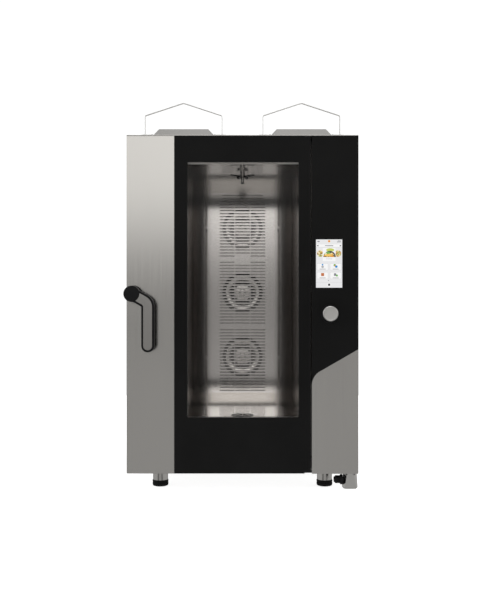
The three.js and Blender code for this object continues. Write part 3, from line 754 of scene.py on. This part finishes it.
def build_handle():
    low, high, _ = place("handle_lever")
    boss = Vector((low.x + BOSS, 0, high.z - BOSS))
    shared = dict(bend_x=boss.x + GRIP_OFF, bottom=low.z + GRIP_END, slope=-0.506,
                  bend_radius=24 * MM)
    middle = (boss.x, FACE, boss.z)

    arm = bmesh.new()
    outline = handle_outline(boss, ARM_HALF, 6 * MM, **shared)
    cut_into(arm, outline, FACE - ARM_FRONT, FACE - ARM_BACK)
    finish_piece("handle_arm", arm, black_plastic, "handle_lever", ("handle_lever",), 4.0, 5)

    core = bmesh.new()
    profile = [(0, -BOSS_FRONT), (BOSS, -BOSS_FRONT), (BOSS, -34 * MM), (21 * MM, -26 * MM),
               (21 * MM, -4 * MM), (27 * MM, -2 * MM), (27 * MM, -0.4 * MM), (0, -0.4 * MM)]
    turn_into(core, rounded(profile, 2 * MM, 6), middle, "Y", 72)
    finish_piece("handle_boss", core, black_plastic, "handle_lever")

    strip = bmesh.new()
    outline = handle_outline(boss, STRIP_HALF, 22 * MM, **shared)
    cut_into(strip, outline, FACE - ARM_FRONT - 1 * MM, FACE - ARM_FRONT + 0.5 * MM)
    finish_piece("handle_strip", strip, lever_steel, "handle_insert", ("handle_insert",), 0.9, 3)

    rod = bmesh.new()
    profile = [(0, 0), (SPINDLE, 0), (SPINDLE, SPINDLE_LONG), (0, SPINDLE_LONG)]
    turn_into(rod, profile, middle, "Y", 32)
    box_into(rod, (boss.x - 6 * MM, FACE + 47 * MM, boss.z - 15 * MM),
             (boss.x + 6 * MM, FACE + 57.8 * MM, boss.z + 4 * MM))
    finish_piece("latch_spindle", rod, bright_steel, "handle_lever", (), 0.8)


build_handle()
print("handle built")

# %% [markdown]
# ## Door cover's ends
# The tall cover is a folded tube. On a real door a small plate is welded into each end, so
# that no crumbs fall in. Two plates set just inside the tube do the same here.

# %% Close the cover's ends
def build_cover_ends():
    low, high, _ = place("door_side_cover")
    wall, sunk, thick = 2 * MM, 1 * MM, 1.5 * MM
    ends = bmesh.new()
    for bottom in (low.z + sunk, high.z - sunk - thick):
        box_into(ends, (low.x + wall, low.y + wall, bottom),
                 (high.x - wall, high.y - wall, bottom + thick))
    finish_piece("cover_ends", ends, deep_steel, "door_side_cover", smooth=False)


build_cover_ends()
print("cover ends closed")

# %% [markdown]
# ## Knob
# The knob is turned aluminium with a satin face and a slightly softened rim, and it stands
# in a black ring on the glass. Both are turned from a profile, which is how the real ones
# are made. The lathe's rings on the face come from the finish, drawn round the knob's own
# middle, because modelling them would need thousands of faces.

# %% Build the knob and its ring
KNOB_NECK, KNOB_NECK_END = 5.4 * MM, -14.4 * MM
RING_HOLE = 26.2 * MM


def build_knob():
    low, high, mid = place("knob_cap")
    radius = (high.x - low.x) / 2
    centre = (mid.x, FACE, mid.z)
    front, back = low.y - FACE, high.y - FACE
    cap = bmesh.new()
    face = [(0, front + 0.5 * MM), (radius * 0.80, front + 0.5 * MM), (radius * 0.90, front),
            (radius, front + 1.6 * MM), (radius, back), (KNOB_NECK, back)]
    neck = [(KNOB_NECK, KNOB_NECK_END), (0, KNOB_NECK_END)]
    turn_into(cap, rounded(face, 1.2 * MM, 4) + neck, centre, "Y", 96)
    finish_piece("knob", cap, knob_metal, "knob_cap", ("knob_cap",))

    ring_low, ring_high, _ = place("knob_bezel")
    outer = (ring_high.x - ring_low.x) / 2
    thick = ring_low.y - FACE
    ring = bmesh.new()
    section = [(RING_HOLE, -0.3 * MM), (outer, -0.3 * MM), (outer - 0.4 * MM, thick * 0.8),
               (outer - 1.4 * MM, thick), (26.9 * MM, thick), (RING_HOLE, thick * 0.7)]
    turn_into(ring, section + section[:1], centre, "Y", 96)
    finish_piece("knob_ring", ring, black_plastic, "knob_bezel", ("knob_bezel",))


build_knob()
print("knob built")

# %% [markdown]
# ## Display
# The lit screen shows a menu: a bar with small marks, a title between two arrows, a strip
# of pictures, four tiles with a coloured sign each, and a home key. Every sign is a plain
# shape without letters. A picture on the glass would blur from close by, so the signs are
# thin raised patches of one glowing piece, stacked in steps of a few hundredths of a
# millimetre.

# %% Finishes for the display
DOT_GRID = 900  # repeats per metre


def glowing(name, color, light=1.0):
    """A lit patch with the faint grid of a display's dots."""
    material = bpy.data.materials.new(name)
    material.use_nodes = True
    made, links = material.node_tree.nodes, material.node_tree.links
    shader = made["Principled BSDF"]
    shader.inputs["Roughness"].default_value = 0.25
    shader.inputs["Specular IOR Level"].default_value = 0.2
    shader.inputs["Base Color"].default_value = (0.02, 0.02, 0.02, 1)
    shader.inputs["Emission Strength"].default_value = light
    coords = made.new("ShaderNodeTexCoord")
    stretch = made.new("ShaderNodeMapping")
    stretch.inputs["Scale"].default_value = (DOT_GRID,) * 3
    dots = made.new("ShaderNodeTexNoise")
    dots.inputs["Scale"].default_value = 1.0
    mix = made.new("ShaderNodeMix")
    mix.data_type = "RGBA"
    mix.inputs[6].default_value = (*(c * 0.95 for c in color), 1)
    mix.inputs[7].default_value = (*color, 1)
    links.new(coords.outputs["Object"], stretch.inputs["Vector"])
    links.new(stretch.outputs[0], dots.inputs["Vector"])
    links.new(dots.outputs["Fac"], mix.inputs[0])
    links.new(mix.outputs[2], shader.inputs["Emission Color"])
    return material


def picture_band():
    """Warm food colours in soft blotches, for the strip of pictures."""
    material = glowing("picture_band", (0.8, 0.5, 0.2))
    made, links = material.node_tree.nodes, material.node_tree.links
    coords = made.new("ShaderNodeTexCoord")
    cells = made.new("ShaderNodeTexVoronoi")
    cells.inputs["Scale"].default_value = 330
    ramp = made.new("ShaderNodeValToRGB")
    stops = ramp.color_ramp
    stops.interpolation = "CONSTANT"
    stops.elements[0].position, stops.elements[0].color = 0.0, (0.70, 0.36, 0.06, 1)
    stops.elements[1].position, stops.elements[1].color = 0.85, (0.08, 0.07, 0.04, 1)
    for position, color in ((0.25, (0.85, 0.66, 0.30)), (0.45, (0.32, 0.42, 0.08)),
                            (0.60, (0.88, 0.80, 0.55)), (0.72, (0.45, 0.18, 0.05))):
        stops.elements.new(position).color = (*color, 1)
    split = made.new("ShaderNodeSeparateColor")
    links.new(coords.outputs["Object"], cells.inputs["Vector"])
    links.new(cells.outputs["Color"], split.inputs[0])
    links.new(split.outputs[0], ramp.inputs["Fac"])
    links.new(ramp.outputs["Color"], made["Principled BSDF"].inputs["Emission Color"])
    return material


SCREEN_COLORS = {
    "paper": (0.80, 0.80, 0.81), "tile": (0.92, 0.92, 0.92), "line": (0.42, 0.42, 0.43),
    "ink": (0.05, 0.05, 0.06), "blue": (0.0, 0.25, 0.62), "green": (0.16, 0.42, 0.10),
    "orange": (0.80, 0.30, 0.03), "brick": (0.48, 0.13, 0.05), "grey": (0.22, 0.22, 0.25),
    "leaf": (0.55, 0.62, 0.12), "yolk": (0.90, 0.55, 0.10),
}
screen_finishes = {k: glowing("screen_" + k, c) for k, c in SCREEN_COLORS.items()}
screen_finishes["food"] = picture_band()
print("screen finishes:", len(screen_finishes))

# %% [markdown]
# ## Drawing on the display
# Each sign is a flat outline, given a tiny thickness. Places are shares of the screen's
# width and height, counted from its upper left corner, so that the drawing fits a screen of
# any size. A later sign gets a higher lift, so that it lies on top.

# %% Helper that draws signs
LIFT_STEP = 0.06 * MM


class Menu:
    """Flat signs on the display_screen piece, gathered into one mesh."""

    def __init__(self):
        self.low, self.high, _ = place("display_screen")
        self.width, self.height = self.high.x - self.low.x, self.high.z - self.low.z
        self.kinds = list(screen_finishes)
        self.patches = bmesh.new()

    def at(self, u, v):
        return self.low.x + self.width * u, self.high.z - self.height * v

    def patch(self, kind, outline, lift):
        glass = self.low.y
        cut_into(self.patches, outline, glass - lift * LIFT_STEP, glass, self.kinds.index(kind))

    def bar(self, kind, u, v, half_u, half_v, lift=3, corner=0.0):
        x, z = self.at(u, v)
        a, b = half_u * self.width, half_v * self.height
        r = min(corner * self.width, a, b)
        points = []
        for cx, cz, first in ((1, 1, 0), (-1, 1, 90), (-1, -1, 180), (1, -1, 270)):
            for step in (0, 30, 60, 90) if r else (0,):
                t = math.radians(first + step)
                points.append((x + cx * (a - r) + r * math.cos(t),
                               z + cz * (b - r) + r * math.sin(t)))
        self.patch(kind, points, lift)

    def oval(self, kind, u, v, half_u, half_v, lift=5, sweep=360):
        x, z = self.at(u, v)
        turns = (math.radians(sweep * i / 24) for i in range(25 if sweep < 360 else 24))
        points = [(x + half_u * self.width * math.cos(t), z + half_v * self.height * math.sin(t))
                  for t in turns]
        self.patch(kind, points, lift)

    def dot(self, kind, u, v, radius, lift=5):
        self.oval(kind, u, v, radius, radius * self.width / self.height, lift)

    def arrow(self, u, v, way):
        x, z = self.at(u, v)
        s = 0.032 * self.width
        self.patch("ink", [(x + way * s, z), (x - way * s, z + s), (x - way * s, z - s)], 4)


print("signs ready")

# %% [markdown]
# ## The menu
# The signs follow the order in which they lie on each other: paper, top bar, dish, tiles
# and home key. One function draws them all, because they end up in one piece.

# %% Build the display
def build_display():
    menu = Menu()
    bar, oval, dot, arrow = menu.bar, menu.oval, menu.dot, menu.arrow
    bar("paper", 0.5, 0.5, 0.482, 0.493, 1, 0.012)
    bar("tile", 0.5, 0.135, 0.46, 0.026, 2, 0.01)
    bar("line", 0.5, 0.165, 0.47, 0.0012, 3)
    for u in (0.09, 0.13):
        dot("grey", u, 0.048, 0.022)
    for i, wide in enumerate((0.055, 0.075)):
        bar("grey", 0.90 - wide / 2, 0.036 + 0.022 * i, wide, 0.006)
    dot("orange", 0.5, 0.043, 0.042)
    arrow(0.075, 0.135, -1)
    arrow(0.925, 0.135, 1)
    bar("grey", 0.5, 0.135, 0.15, 0.0075)
    for u in (0.175, 0.825):
        oval("food", u, 0.295, 0.118, 0.068, 3)
    bar("tile", 0.5, 0.315, 0.235, 0.135, 4, 0.02)
    oval("leaf", 0.54, 0.222, 0.15, 0.034, 5)
    oval("ink", 0.52, 0.368, 0.225, 0.128, 6, 180)
    oval("food", 0.49, 0.368, 0.205, 0.112, 7, 180)
    oval("green", 0.47, 0.278, 0.085, 0.022, 8)
    oval("ink", 0.56, 0.262, 0.045, 0.020, 9)
    oval("yolk", 0.48, 0.332, 0.150, 0.021, 9)
    oval("orange", 0.60, 0.350, 0.060, 0.014, 10)
    bar("line", 0.5, 0.405, 0.12, 0.004, 6)
    for u in (0.26, 0.74):
        for v in (0.565, 0.745):
            bar("line", u, v, 0.205, 0.068, 3, 0.012)
            bar("tile", u, v, 0.200, 0.0655, 4, 0.012)
            bar("line", u, v + 0.048, 0.11, 0.007, 5)
    dot("blue", 0.26, 0.523, 0.030, 6)
    dot("line", 0.26, 0.567, 0.046, 5)
    dot("green", 0.705, 0.533, 0.044, 6)
    dot("orange", 0.732, 0.548, 0.036, 7)
    dot("blue", 0.765, 0.562, 0.046, 8)
    bar("brick", 0.26, 0.725, 0.055, 0.031, 6, 0.012)
    for i in (-1, 1):
        bar("orange", 0.26 + 0.018 * i, 0.725, 0.005, 0.022, 7)
    bar("grey", 0.72, 0.725, 0.042, 0.026, 6, 0.006)
    dot("green", 0.785, 0.745, 0.038, 7)
    bar("line", 0.5, 0.885, 0.47, 0.0012, 3)
    dot("grey", 0.48, 0.845, 0.018)
    dot("tile", 0.5, 0.933, 0.075, 4)
    bar("ink", 0.5, 0.933, 0.040, 0.022, 5, 0.006)
    finishes = [screen_finishes[k] for k in menu.kinds]
    finish_piece("display_menu", menu.patches, finishes, "display_screen", (), smooth=False)
    carry("display_screen", black_glass, 0.3)
    return len(menu.kinds)


print("display drawn with", build_display(), "finishes")

# %% [markdown]
# ## Levelling feet
# Each foot is a steel sleeve with a black pad below it. The pad has a grip groove and a
# rounded lower edge. The sleeve reaches a little way down over the pad's top, so that no
# gap shows between the two. Both are round, so a turned profile gives each in one step.

# %% Build the feet
SLEEVE_LAP = 5 * MM


def build_feet():
    for depth in ("front", "rear"):
        for side in ("left", "right"):
            where = f"{depth}_{side}"
            low, high, mid = place("foot_sleeve_" + where)
            r = (high.x - low.x) / 2
            sleeve = bmesh.new()
            bottom = low.z - SLEEVE_LAP
            profile = rounded([(0, bottom), (r, bottom), (r, high.z), (0, high.z)], 1.5 * MM)
            turn_into(sleeve, profile, (mid.x, mid.y, 0), "Z", 64)
            finish_piece("sleeve_" + where, sleeve, front_steel, "foot_sleeve_" + where,
                         ("foot_sleeve_" + where,))
            pad_low, pad_high, pad_mid = place("foot_pad_" + where)
            p = (pad_high.x - pad_low.x) / 2
            top = pad_high.z - SLEEVE_LAP
            pad = bmesh.new()
            section = [(0, 0), (p - 5 * MM, 0), (p - 1.5 * MM, 1.2 * MM), (p, 5 * MM),
                       (p, top * 0.55), (p - 1.2 * MM, top * 0.6), (p - 1.2 * MM, top * 0.68),
                       (p, top * 0.73), (p, top - 1 * MM), (p - 1.5 * MM, top), (0, top)]
            turn_into(pad, section, (pad_mid.x, pad_mid.y, 0), "Z", 64)
            finish_piece("pad_" + where, pad, rubber, "foot_pad_" + where,
                         ("foot_pad_" + where,))


build_feet()
print("four feet built")

# %% [markdown]
# ## Roof hoops
# Each hoop is a narrow strip of bright steel bent into a shape like the end of a small
# house, with a foot plate under each leg and two screws through it. A path with rounded
# bends is offset to both sides for the strip's thickness, because a curve's own bevel would
# give it no square edges.

# %% Build the hoops
HOOP_THICK, HOOP_DEEP, HOOP_BEND = 2.2 * MM, 4.5 * MM, 5 * MM
EAVES = ROOF + 64 * MM
FOOT_LONG, FOOT_DEEP, FOOT_THICK = 21 * MM, 6.8 * MM, 2 * MM


def build_hoop(side):
    node = "roof_hoop_" + side
    low, high, mid = place(node)
    half = (high.x - low.x) / 2 - 11 * MM
    path = rounded([(-half, low.z + 1 * MM), (-half, EAVES), (0, high.z - HOOP_THICK / 2),
                    (half, EAVES), (half, low.z + 1 * MM)], HOOP_BEND, 6)
    hoop = bmesh.new()
    outer, inner = [], []
    for i, (x, z) in enumerate(path):
        before = Vector(path[max(i - 1, 0)])
        after = Vector(path[min(i + 1, len(path) - 1)])
        along = (after - before).normalized()
        across = Vector((-along.y, along.x)) * HOOP_THICK / 2
        outer.append((mid.x + x + across.x, z + across.y))
        inner.append((mid.x + x - across.x, z - across.y))
    outline = outer + inner[::-1]
    rows = [[hoop.verts.new((x, y, z)) for x, z in outline]
            for y in (mid.y - HOOP_DEEP, mid.y + HOOP_DEEP)]
    count = len(outline)
    for i in range(count):
        j = (i + 1) % count
        hoop.faces.new((rows[0][i], rows[1][i], rows[1][j], rows[0][j]))
    last = len(outer)
    for i in range(last - 1):
        for row in rows:
            hoop.faces.new((row[i], row[i + 1], row[count - 2 - i], row[count - 1 - i]))
    for end in (-1, 1):
        x = mid.x + end * (half - 9 * MM)
        box_into(hoop, (x - FOOT_LONG, mid.y - FOOT_DEEP, low.z),
                 (x + FOOT_LONG, mid.y + FOOT_DEEP, low.z + FOOT_THICK))
        for shift in (-14, 10) if end > 0 else (-10, 14):
            screw_into(hoop, (x + shift * MM, mid.y, low.z + FOOT_THICK), "Z", 1, 3.4, 1)
    finish_piece("hoop_" + side, hoop, [hoop_steel, screw_steel], node, (node,), 0.35, 2)


for side in ("left", "right"):
    build_hoop(side)
print("hoops built")

# %% [markdown]
# ## Hand shower
# The spray head is parked under the column and points to the left. Its collar is ribbed for
# wet hands. It is a turned profile, with the ribs made by a loop over their steps.

# %% Build the spray head
NOSE, COLLAR, RIB_DEEP = 13 * MM, 16.5 * MM, 0.8 * MM
RIBS, RIB_PITCH = 4, 3


def build_shower():
    low, _, mid = place("shower_head")
    groove = NOSE - RIB_DEEP
    profile = [(0, 0.6 * MM), (6.5 * MM, 0.6 * MM), (7 * MM, 0), (9 * MM, 0), (9.4 * MM, 3 * MM),
               (12 * MM, 4 * MM), (NOSE, 5.5 * MM)]
    for rib in range(RIBS):
        start = (7 + RIB_PITCH * rib) * MM
        profile += [(NOSE, start), (groove, start + 0.6 * MM), (groove, start + 1.4 * MM),
                    (NOSE, start + 2 * MM)]
    profile += [(NOSE, 19.5 * MM), (16 * MM, 20.5 * MM), (COLLAR, 21.5 * MM), (COLLAR, 27 * MM),
                (15.5 * MM, 28 * MM), (6 * MM, 28 * MM), (6 * MM, 63.8 * MM), (0, 63.8 * MM)]
    head = bmesh.new()
    turn_into(head, profile, (low.x, mid.y, mid.z), "X", 56)
    finish_piece("spray_head", head, black_plastic, "shower_head", ("shower_head",))


build_shower()
print("spray head with", RIBS, "ribs")

# %% [markdown]
# ## Shower holder
# The holder is a folded steel cover whose face widens downwards, with a wing folded back on
# each side and two dark screws under the panel's edge. Three rings of six corners, joined
# row by row, give its tapered shape, which a box with a taper modifier would not.

# %% Build the holder
def build_holder():
    low, high, mid = place("shower_holder")
    half, wing = (high.x - low.x) / 2, 11 * MM
    rows = []
    for z, outer, inner in ((high.z, half + 2 * MM, 11 * MM),
                            (low.z + 3 * MM, half + 5 * MM, 18 * MM),
                            (low.z, half + 2 * MM, 17 * MM)):
        spots = ((-outer, high.y), (-outer, low.y + wing), (-inner, low.y), (inner, low.y),
                 (outer, low.y + wing), (outer, high.y))
        rows.append([(mid.x + x, y, z) for x, y in spots])
    cover = bmesh.new()
    grid = [[cover.verts.new(spot) for spot in row] for row in rows]
    for upper, under in zip(grid, grid[1:]):
        for i in range(6):
            j = (i + 1) % 6
            cover.faces.new((upper[i], upper[j], under[j], under[i]))
    cover.faces.new(grid[0])
    cover.faces.new(grid[-1][::-1])
    for way in (-1, 1):
        spot = (mid.x + way * 12 * MM, low.y + 1.5 * MM, high.z - 4 * MM)
        screw_into(cover, spot, "Y", -1, 3.4, 1)
    finish_piece("holder_cover", cover, [bright_steel, screw_steel], "shower_holder",
                 ("shower_holder",), 1.0)


build_holder()
print("holder built")

# %% [markdown]
# ## Wash arm
# The wash arm is a small turned hub with two thin dark arms and two black nozzles. Each arm
# is turned upright at the origin first, then tilted and moved into place, because a tilted
# profile is hard to write down directly.

# %% Build the wash arm
ARM_RISE = 0.15  # the arms climb this much towards their tips, in radians
ARM_TUBE, NOZZLE = 3 * MM, 6 * MM


def build_wash_arm():
    low, high, mid = place("wash_spinner")
    arm = bmesh.new()
    top = high.z
    hub = [(0, low.z), (3 * MM, low.z), (5 * MM, low.z + 8 * MM), (6 * MM, low.z + 16 * MM),
           (8 * MM, low.z + 18 * MM), (8 * MM, top), (0, top)]
    turn_into(arm, rounded(hub, 1.2 * MM), (mid.x, mid.y, 0), "Z", 40)
    reach = (high.x - low.x) / 2
    start = Vector((mid.x, mid.y, top - 10 * MM))
    profile = [(0, 0), (ARM_TUBE, 0), (ARM_TUBE, reach - 3 * MM), (2 * MM, reach), (0, reach)]
    for way in (-1, 1):
        spin = Matrix.Rotation(math.radians(90 * way), 4, "Y")
        tilt = Matrix.Rotation(-ARM_RISE * way, 4, "Y")
        tube = bmesh.new()
        turn_into(tube, rounded(profile, 1 * MM), (0, 0, 0), "Z", 24, 1)
        bmesh.ops.transform(tube, matrix=Matrix.Translation(start) @ tilt @ spin,
                            verts=tube.verts)
        mesh = bpy.data.meshes.new("tube")
        tube.to_mesh(mesh)
        tube.free()
        arm.from_mesh(mesh)
        bpy.data.meshes.remove(mesh)
    profile = [(0, -NOZZLE), (NOZZLE, -NOZZLE), (NOZZLE, NOZZLE), (0, NOZZLE)]
    for way in (-1, 1):
        nozzle = (mid.x + way * 15 * MM, mid.y - 2 * MM, top - 14 * MM)
        turn_into(arm, rounded(profile, 1.5 * MM), nozzle, "Y", 24, 1)
    ring = [(3 * MM, -1 * MM), (6.5 * MM, -1 * MM), (6.5 * MM, 3 * MM), (3 * MM, 3 * MM)]
    turn_into(arm, ring + ring[:1], (mid.x, mid.y, low.z), "Z", 32, 1)
    finish_piece("wash_arm", arm, [bright_steel, dark_plastic], "wash_spinner",
                 ("wash_spinner",))


build_wash_arm()
print("wash arm built")

# %% [markdown]
# ## Drain strainer
# The strainer is a dark rim and a bright cup joined by ten spokes. Under them lies a near-black
# plate that is painted shadow in the drain's well. The holes could be cut out of a plate with
# booleans, but spokes built one by one leave cleaner faces.

# %% Build the strainer
SPOKES, SPOKE_HALF = 10, 2.2 * MM


def build_strainer():
    low, high, mid = place("drain_strainer")
    radius = (high.x - low.x) / 2
    floor_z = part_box("cavity_floor")[1].z
    centre = Vector((mid.x, mid.y, floor_z))
    dish = bmesh.new()
    rim = [(radius, -3 * MM), (radius, 0.8 * MM), (radius - 2 * MM, 1.4 * MM),
           (radius - 7 * MM, 1.0 * MM), (radius - 8 * MM, -1.5 * MM), (radius - 8 * MM, -3 * MM)]
    turn_into(dish, rim + rim[:1], centre, "Z", 64, 1)
    cup = [(0, 5.6 * MM), (8 * MM, 5.6 * MM), (11 * MM, 2 * MM), (15 * MM, 1.2 * MM),
           (15 * MM, -2 * MM), (0, -2 * MM)]
    turn_into(dish, rounded(cup, 1 * MM), centre, "Z", 48)
    for i in range(SPOKES):
        angle = 2 * math.pi * i / SPOKES
        out = Vector((math.cos(angle), math.sin(angle), 0))
        across = Vector((-out.y, out.x, 0)) * SPOKE_HALF
        near, far = centre + out * 14 * MM, centre + out * (radius - 7 * MM)
        corners = [near - across, near + across, far + across, far - across]
        rows = [[dish.verts.new(c + Vector((0, 0, z))) for c in corners]
                for z in (-1.5 * MM, 0.8 * MM)]
        dish.faces.new(rows[0])
        dish.faces.new(rows[1][::-1])
        for j in range(4):
            k = (j + 1) % 4
            dish.faces.new((rows[0][j], rows[0][k], rows[1][k], rows[1][j]))
    finish_piece("strainer", dish, [bright_steel, screw_steel], "drain_strainer",
                 ("drain_strainer",))
    # A near-black plate below the spokes: painted shadow in the drain's well.
    well = bmesh.new()
    hole = radius - 8.3 * MM
    section = [(0, -2.9 * MM), (hole, -2.9 * MM), (hole, -2.2 * MM), (0, -2.2 * MM)]
    turn_into(well, section, centre, "Z", 48)
    finish_piece("strainer_shadow_plate", well, shade_black, "drain_strainer")


build_strainer()
print("strainer with", SPOKES, "spokes")

# %% [markdown]
# ## Fans
# Each fan is a radial wheel: a bright front ring and hub, curved blades behind them, and a back
# disc with the shaft. Only the ring and hub catch the light through the slots. The blades and the
# back disc are near-black as painted shade, so the gaps between ring and hub read as dark circles.
# One blade could be copied by an array modifier, but a loop keeps the whole wheel one clean mesh.

# %% Build the fan wheels
BLADES, BLADE_STEPS = 14, 6
BLADE_FROM, BLADE_LONG, BLADE_HALF = 58, 40, 0.8 * MM
HUB = 36 * MM
RING_IN, RING_OUT, RING_THICK = 48 * MM, 68 * MM, 2 * MM
SHAFT = 8 * MM
DISC_FRONT, DISC_BACK = 33 * MM, 35 * MM


def blade_outline(start):
    """Corners of a curved blade seen from the front, around the shaft."""
    path = []
    for step in range(BLADE_STEPS + 1):
        t = step / BLADE_STEPS
        angle = start - 0.42 * t * t - 0.1 * t
        path.append(Vector((math.cos(angle), math.sin(angle))) * (BLADE_FROM + BLADE_LONG * t) * MM)
    outline = []
    for points in (path, path[::-1]):
        for k, point in enumerate(points):
            near, far = points[max(k - 1, 0)], points[min(k + 1, BLADE_STEPS)]
            along = (far - near).normalized()
            outline.append(point + Vector((-along.y, along.x)) * BLADE_HALF)
    return outline


def build_fan(turn):
    node = "fan_" + turn
    low, high, mid = place(node)
    radius = (high.x - low.x) / 2
    centre = (mid.x, low.y, mid.z)
    wheel = bmesh.new()
    hub = [(0, 0), (7 * MM, 0), (8 * MM, 1 * MM), (12.5 * MM, 1 * MM), (14 * MM, 3 * MM),
           (33 * MM, 3 * MM), (HUB, 6 * MM), (HUB, 34 * MM)]
    turn_into(wheel, rounded(hub, 0.8 * MM) + [(0, 34 * MM)], centre, "Y", 72)
    ring = [(RING_IN, 0.6 * MM), (RING_IN + 1 * MM, 0), (RING_OUT - 1 * MM, 0),
            (RING_OUT, 1 * MM), (RING_OUT, RING_THICK), (RING_IN, RING_THICK)]
    turn_into(wheel, ring + ring[:1], centre, "Y", 96)
    disc = [(0, DISC_FRONT), (radius, DISC_FRONT), (radius, DISC_BACK), (0, DISC_BACK)]
    # The back disc and the blades take the near-black painted shade.
    turn_into(wheel, disc, centre, "Y", 96, 1)
    shaft_end = high.y - low.y
    shaft = [(0, 34 * MM), (SHAFT, 34 * MM), (SHAFT, shaft_end), (0, shaft_end)]
    turn_into(wheel, shaft, centre, "Y", 32, 0)
    for i in range(BLADES):
        outline = [(mid.x + p.x, mid.z + p.y) for p in blade_outline(2 * math.pi * i / BLADES)]
        cut_into(wheel, outline, low.y + RING_THICK, low.y + DISC_BACK - 1.5 * MM, 1)
    finish_piece("wheel_" + turn, wheel, [fan_steel, shade_black], node, (node,))


for turn in ("upper", "middle", "lower"):
    build_fan(turn)
print("three fans with", BLADES, "blades each")

# %% [markdown]
# ## Lamp and seal
# The lamp is a milky bar along the top of the window, and the seal around the mouth is a
# soft rubber lip. The frame's shapes are right for both, so they are carried over, and a
# wide bevel rounds the lip.

# %% Finish the lamp and the seal
lamp_face = moulded("lamp_face", (0.35, 0.34, 0.32), 0.4)
carry("door_lamp", lamp_face, 0.6)
carry("door_gasket", seal_rubber, 2.2)
print("lamp and seal finished")

# %% [markdown]
# ## Fixings on the cabinet
# Screws run down the edges of the side and rear panels and along the base. They could be
# one object copied many times, but one joined piece is lighter to handle, and the screws
# never move apart.

# %% Add the cabinet's screws
PANEL_SCREW = 3.6  # radius in millimetres
SIDE_IN, REAR_IN = 0.03, 0.025  # distance from a panel's edge, in metres


def build_fixings():
    heads = bmesh.new()
    left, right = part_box("side_panel_left")[0].x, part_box("side_panel_right")[1].x
    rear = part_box("rear_panel")[1].y
    cabinet_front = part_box("front_frame")[0].y
    for z in (0.10, 0.36, 0.62, 0.88, 1.12):
        for y in (cabinet_front + SIDE_IN, rear - SIDE_IN):
            screw_into(heads, (left, y, z), "X", -1, PANEL_SCREW)
            screw_into(heads, (right, y, z), "X", 1, PANEL_SCREW)
        for x in (left + REAR_IN, right - REAR_IN):
            screw_into(heads, (x, rear, z), "Y", 1, PANEL_SCREW)
    for x in (-0.24, 0, 0.24):
        for z in (0.085, 1.13):
            screw_into(heads, (x, rear, z), "Y", 1, PANEL_SCREW)
    finish_piece("cabinet_screws", heads, screw_steel, "side_panel_left")


build_fixings()
print("cabinet screws driven")
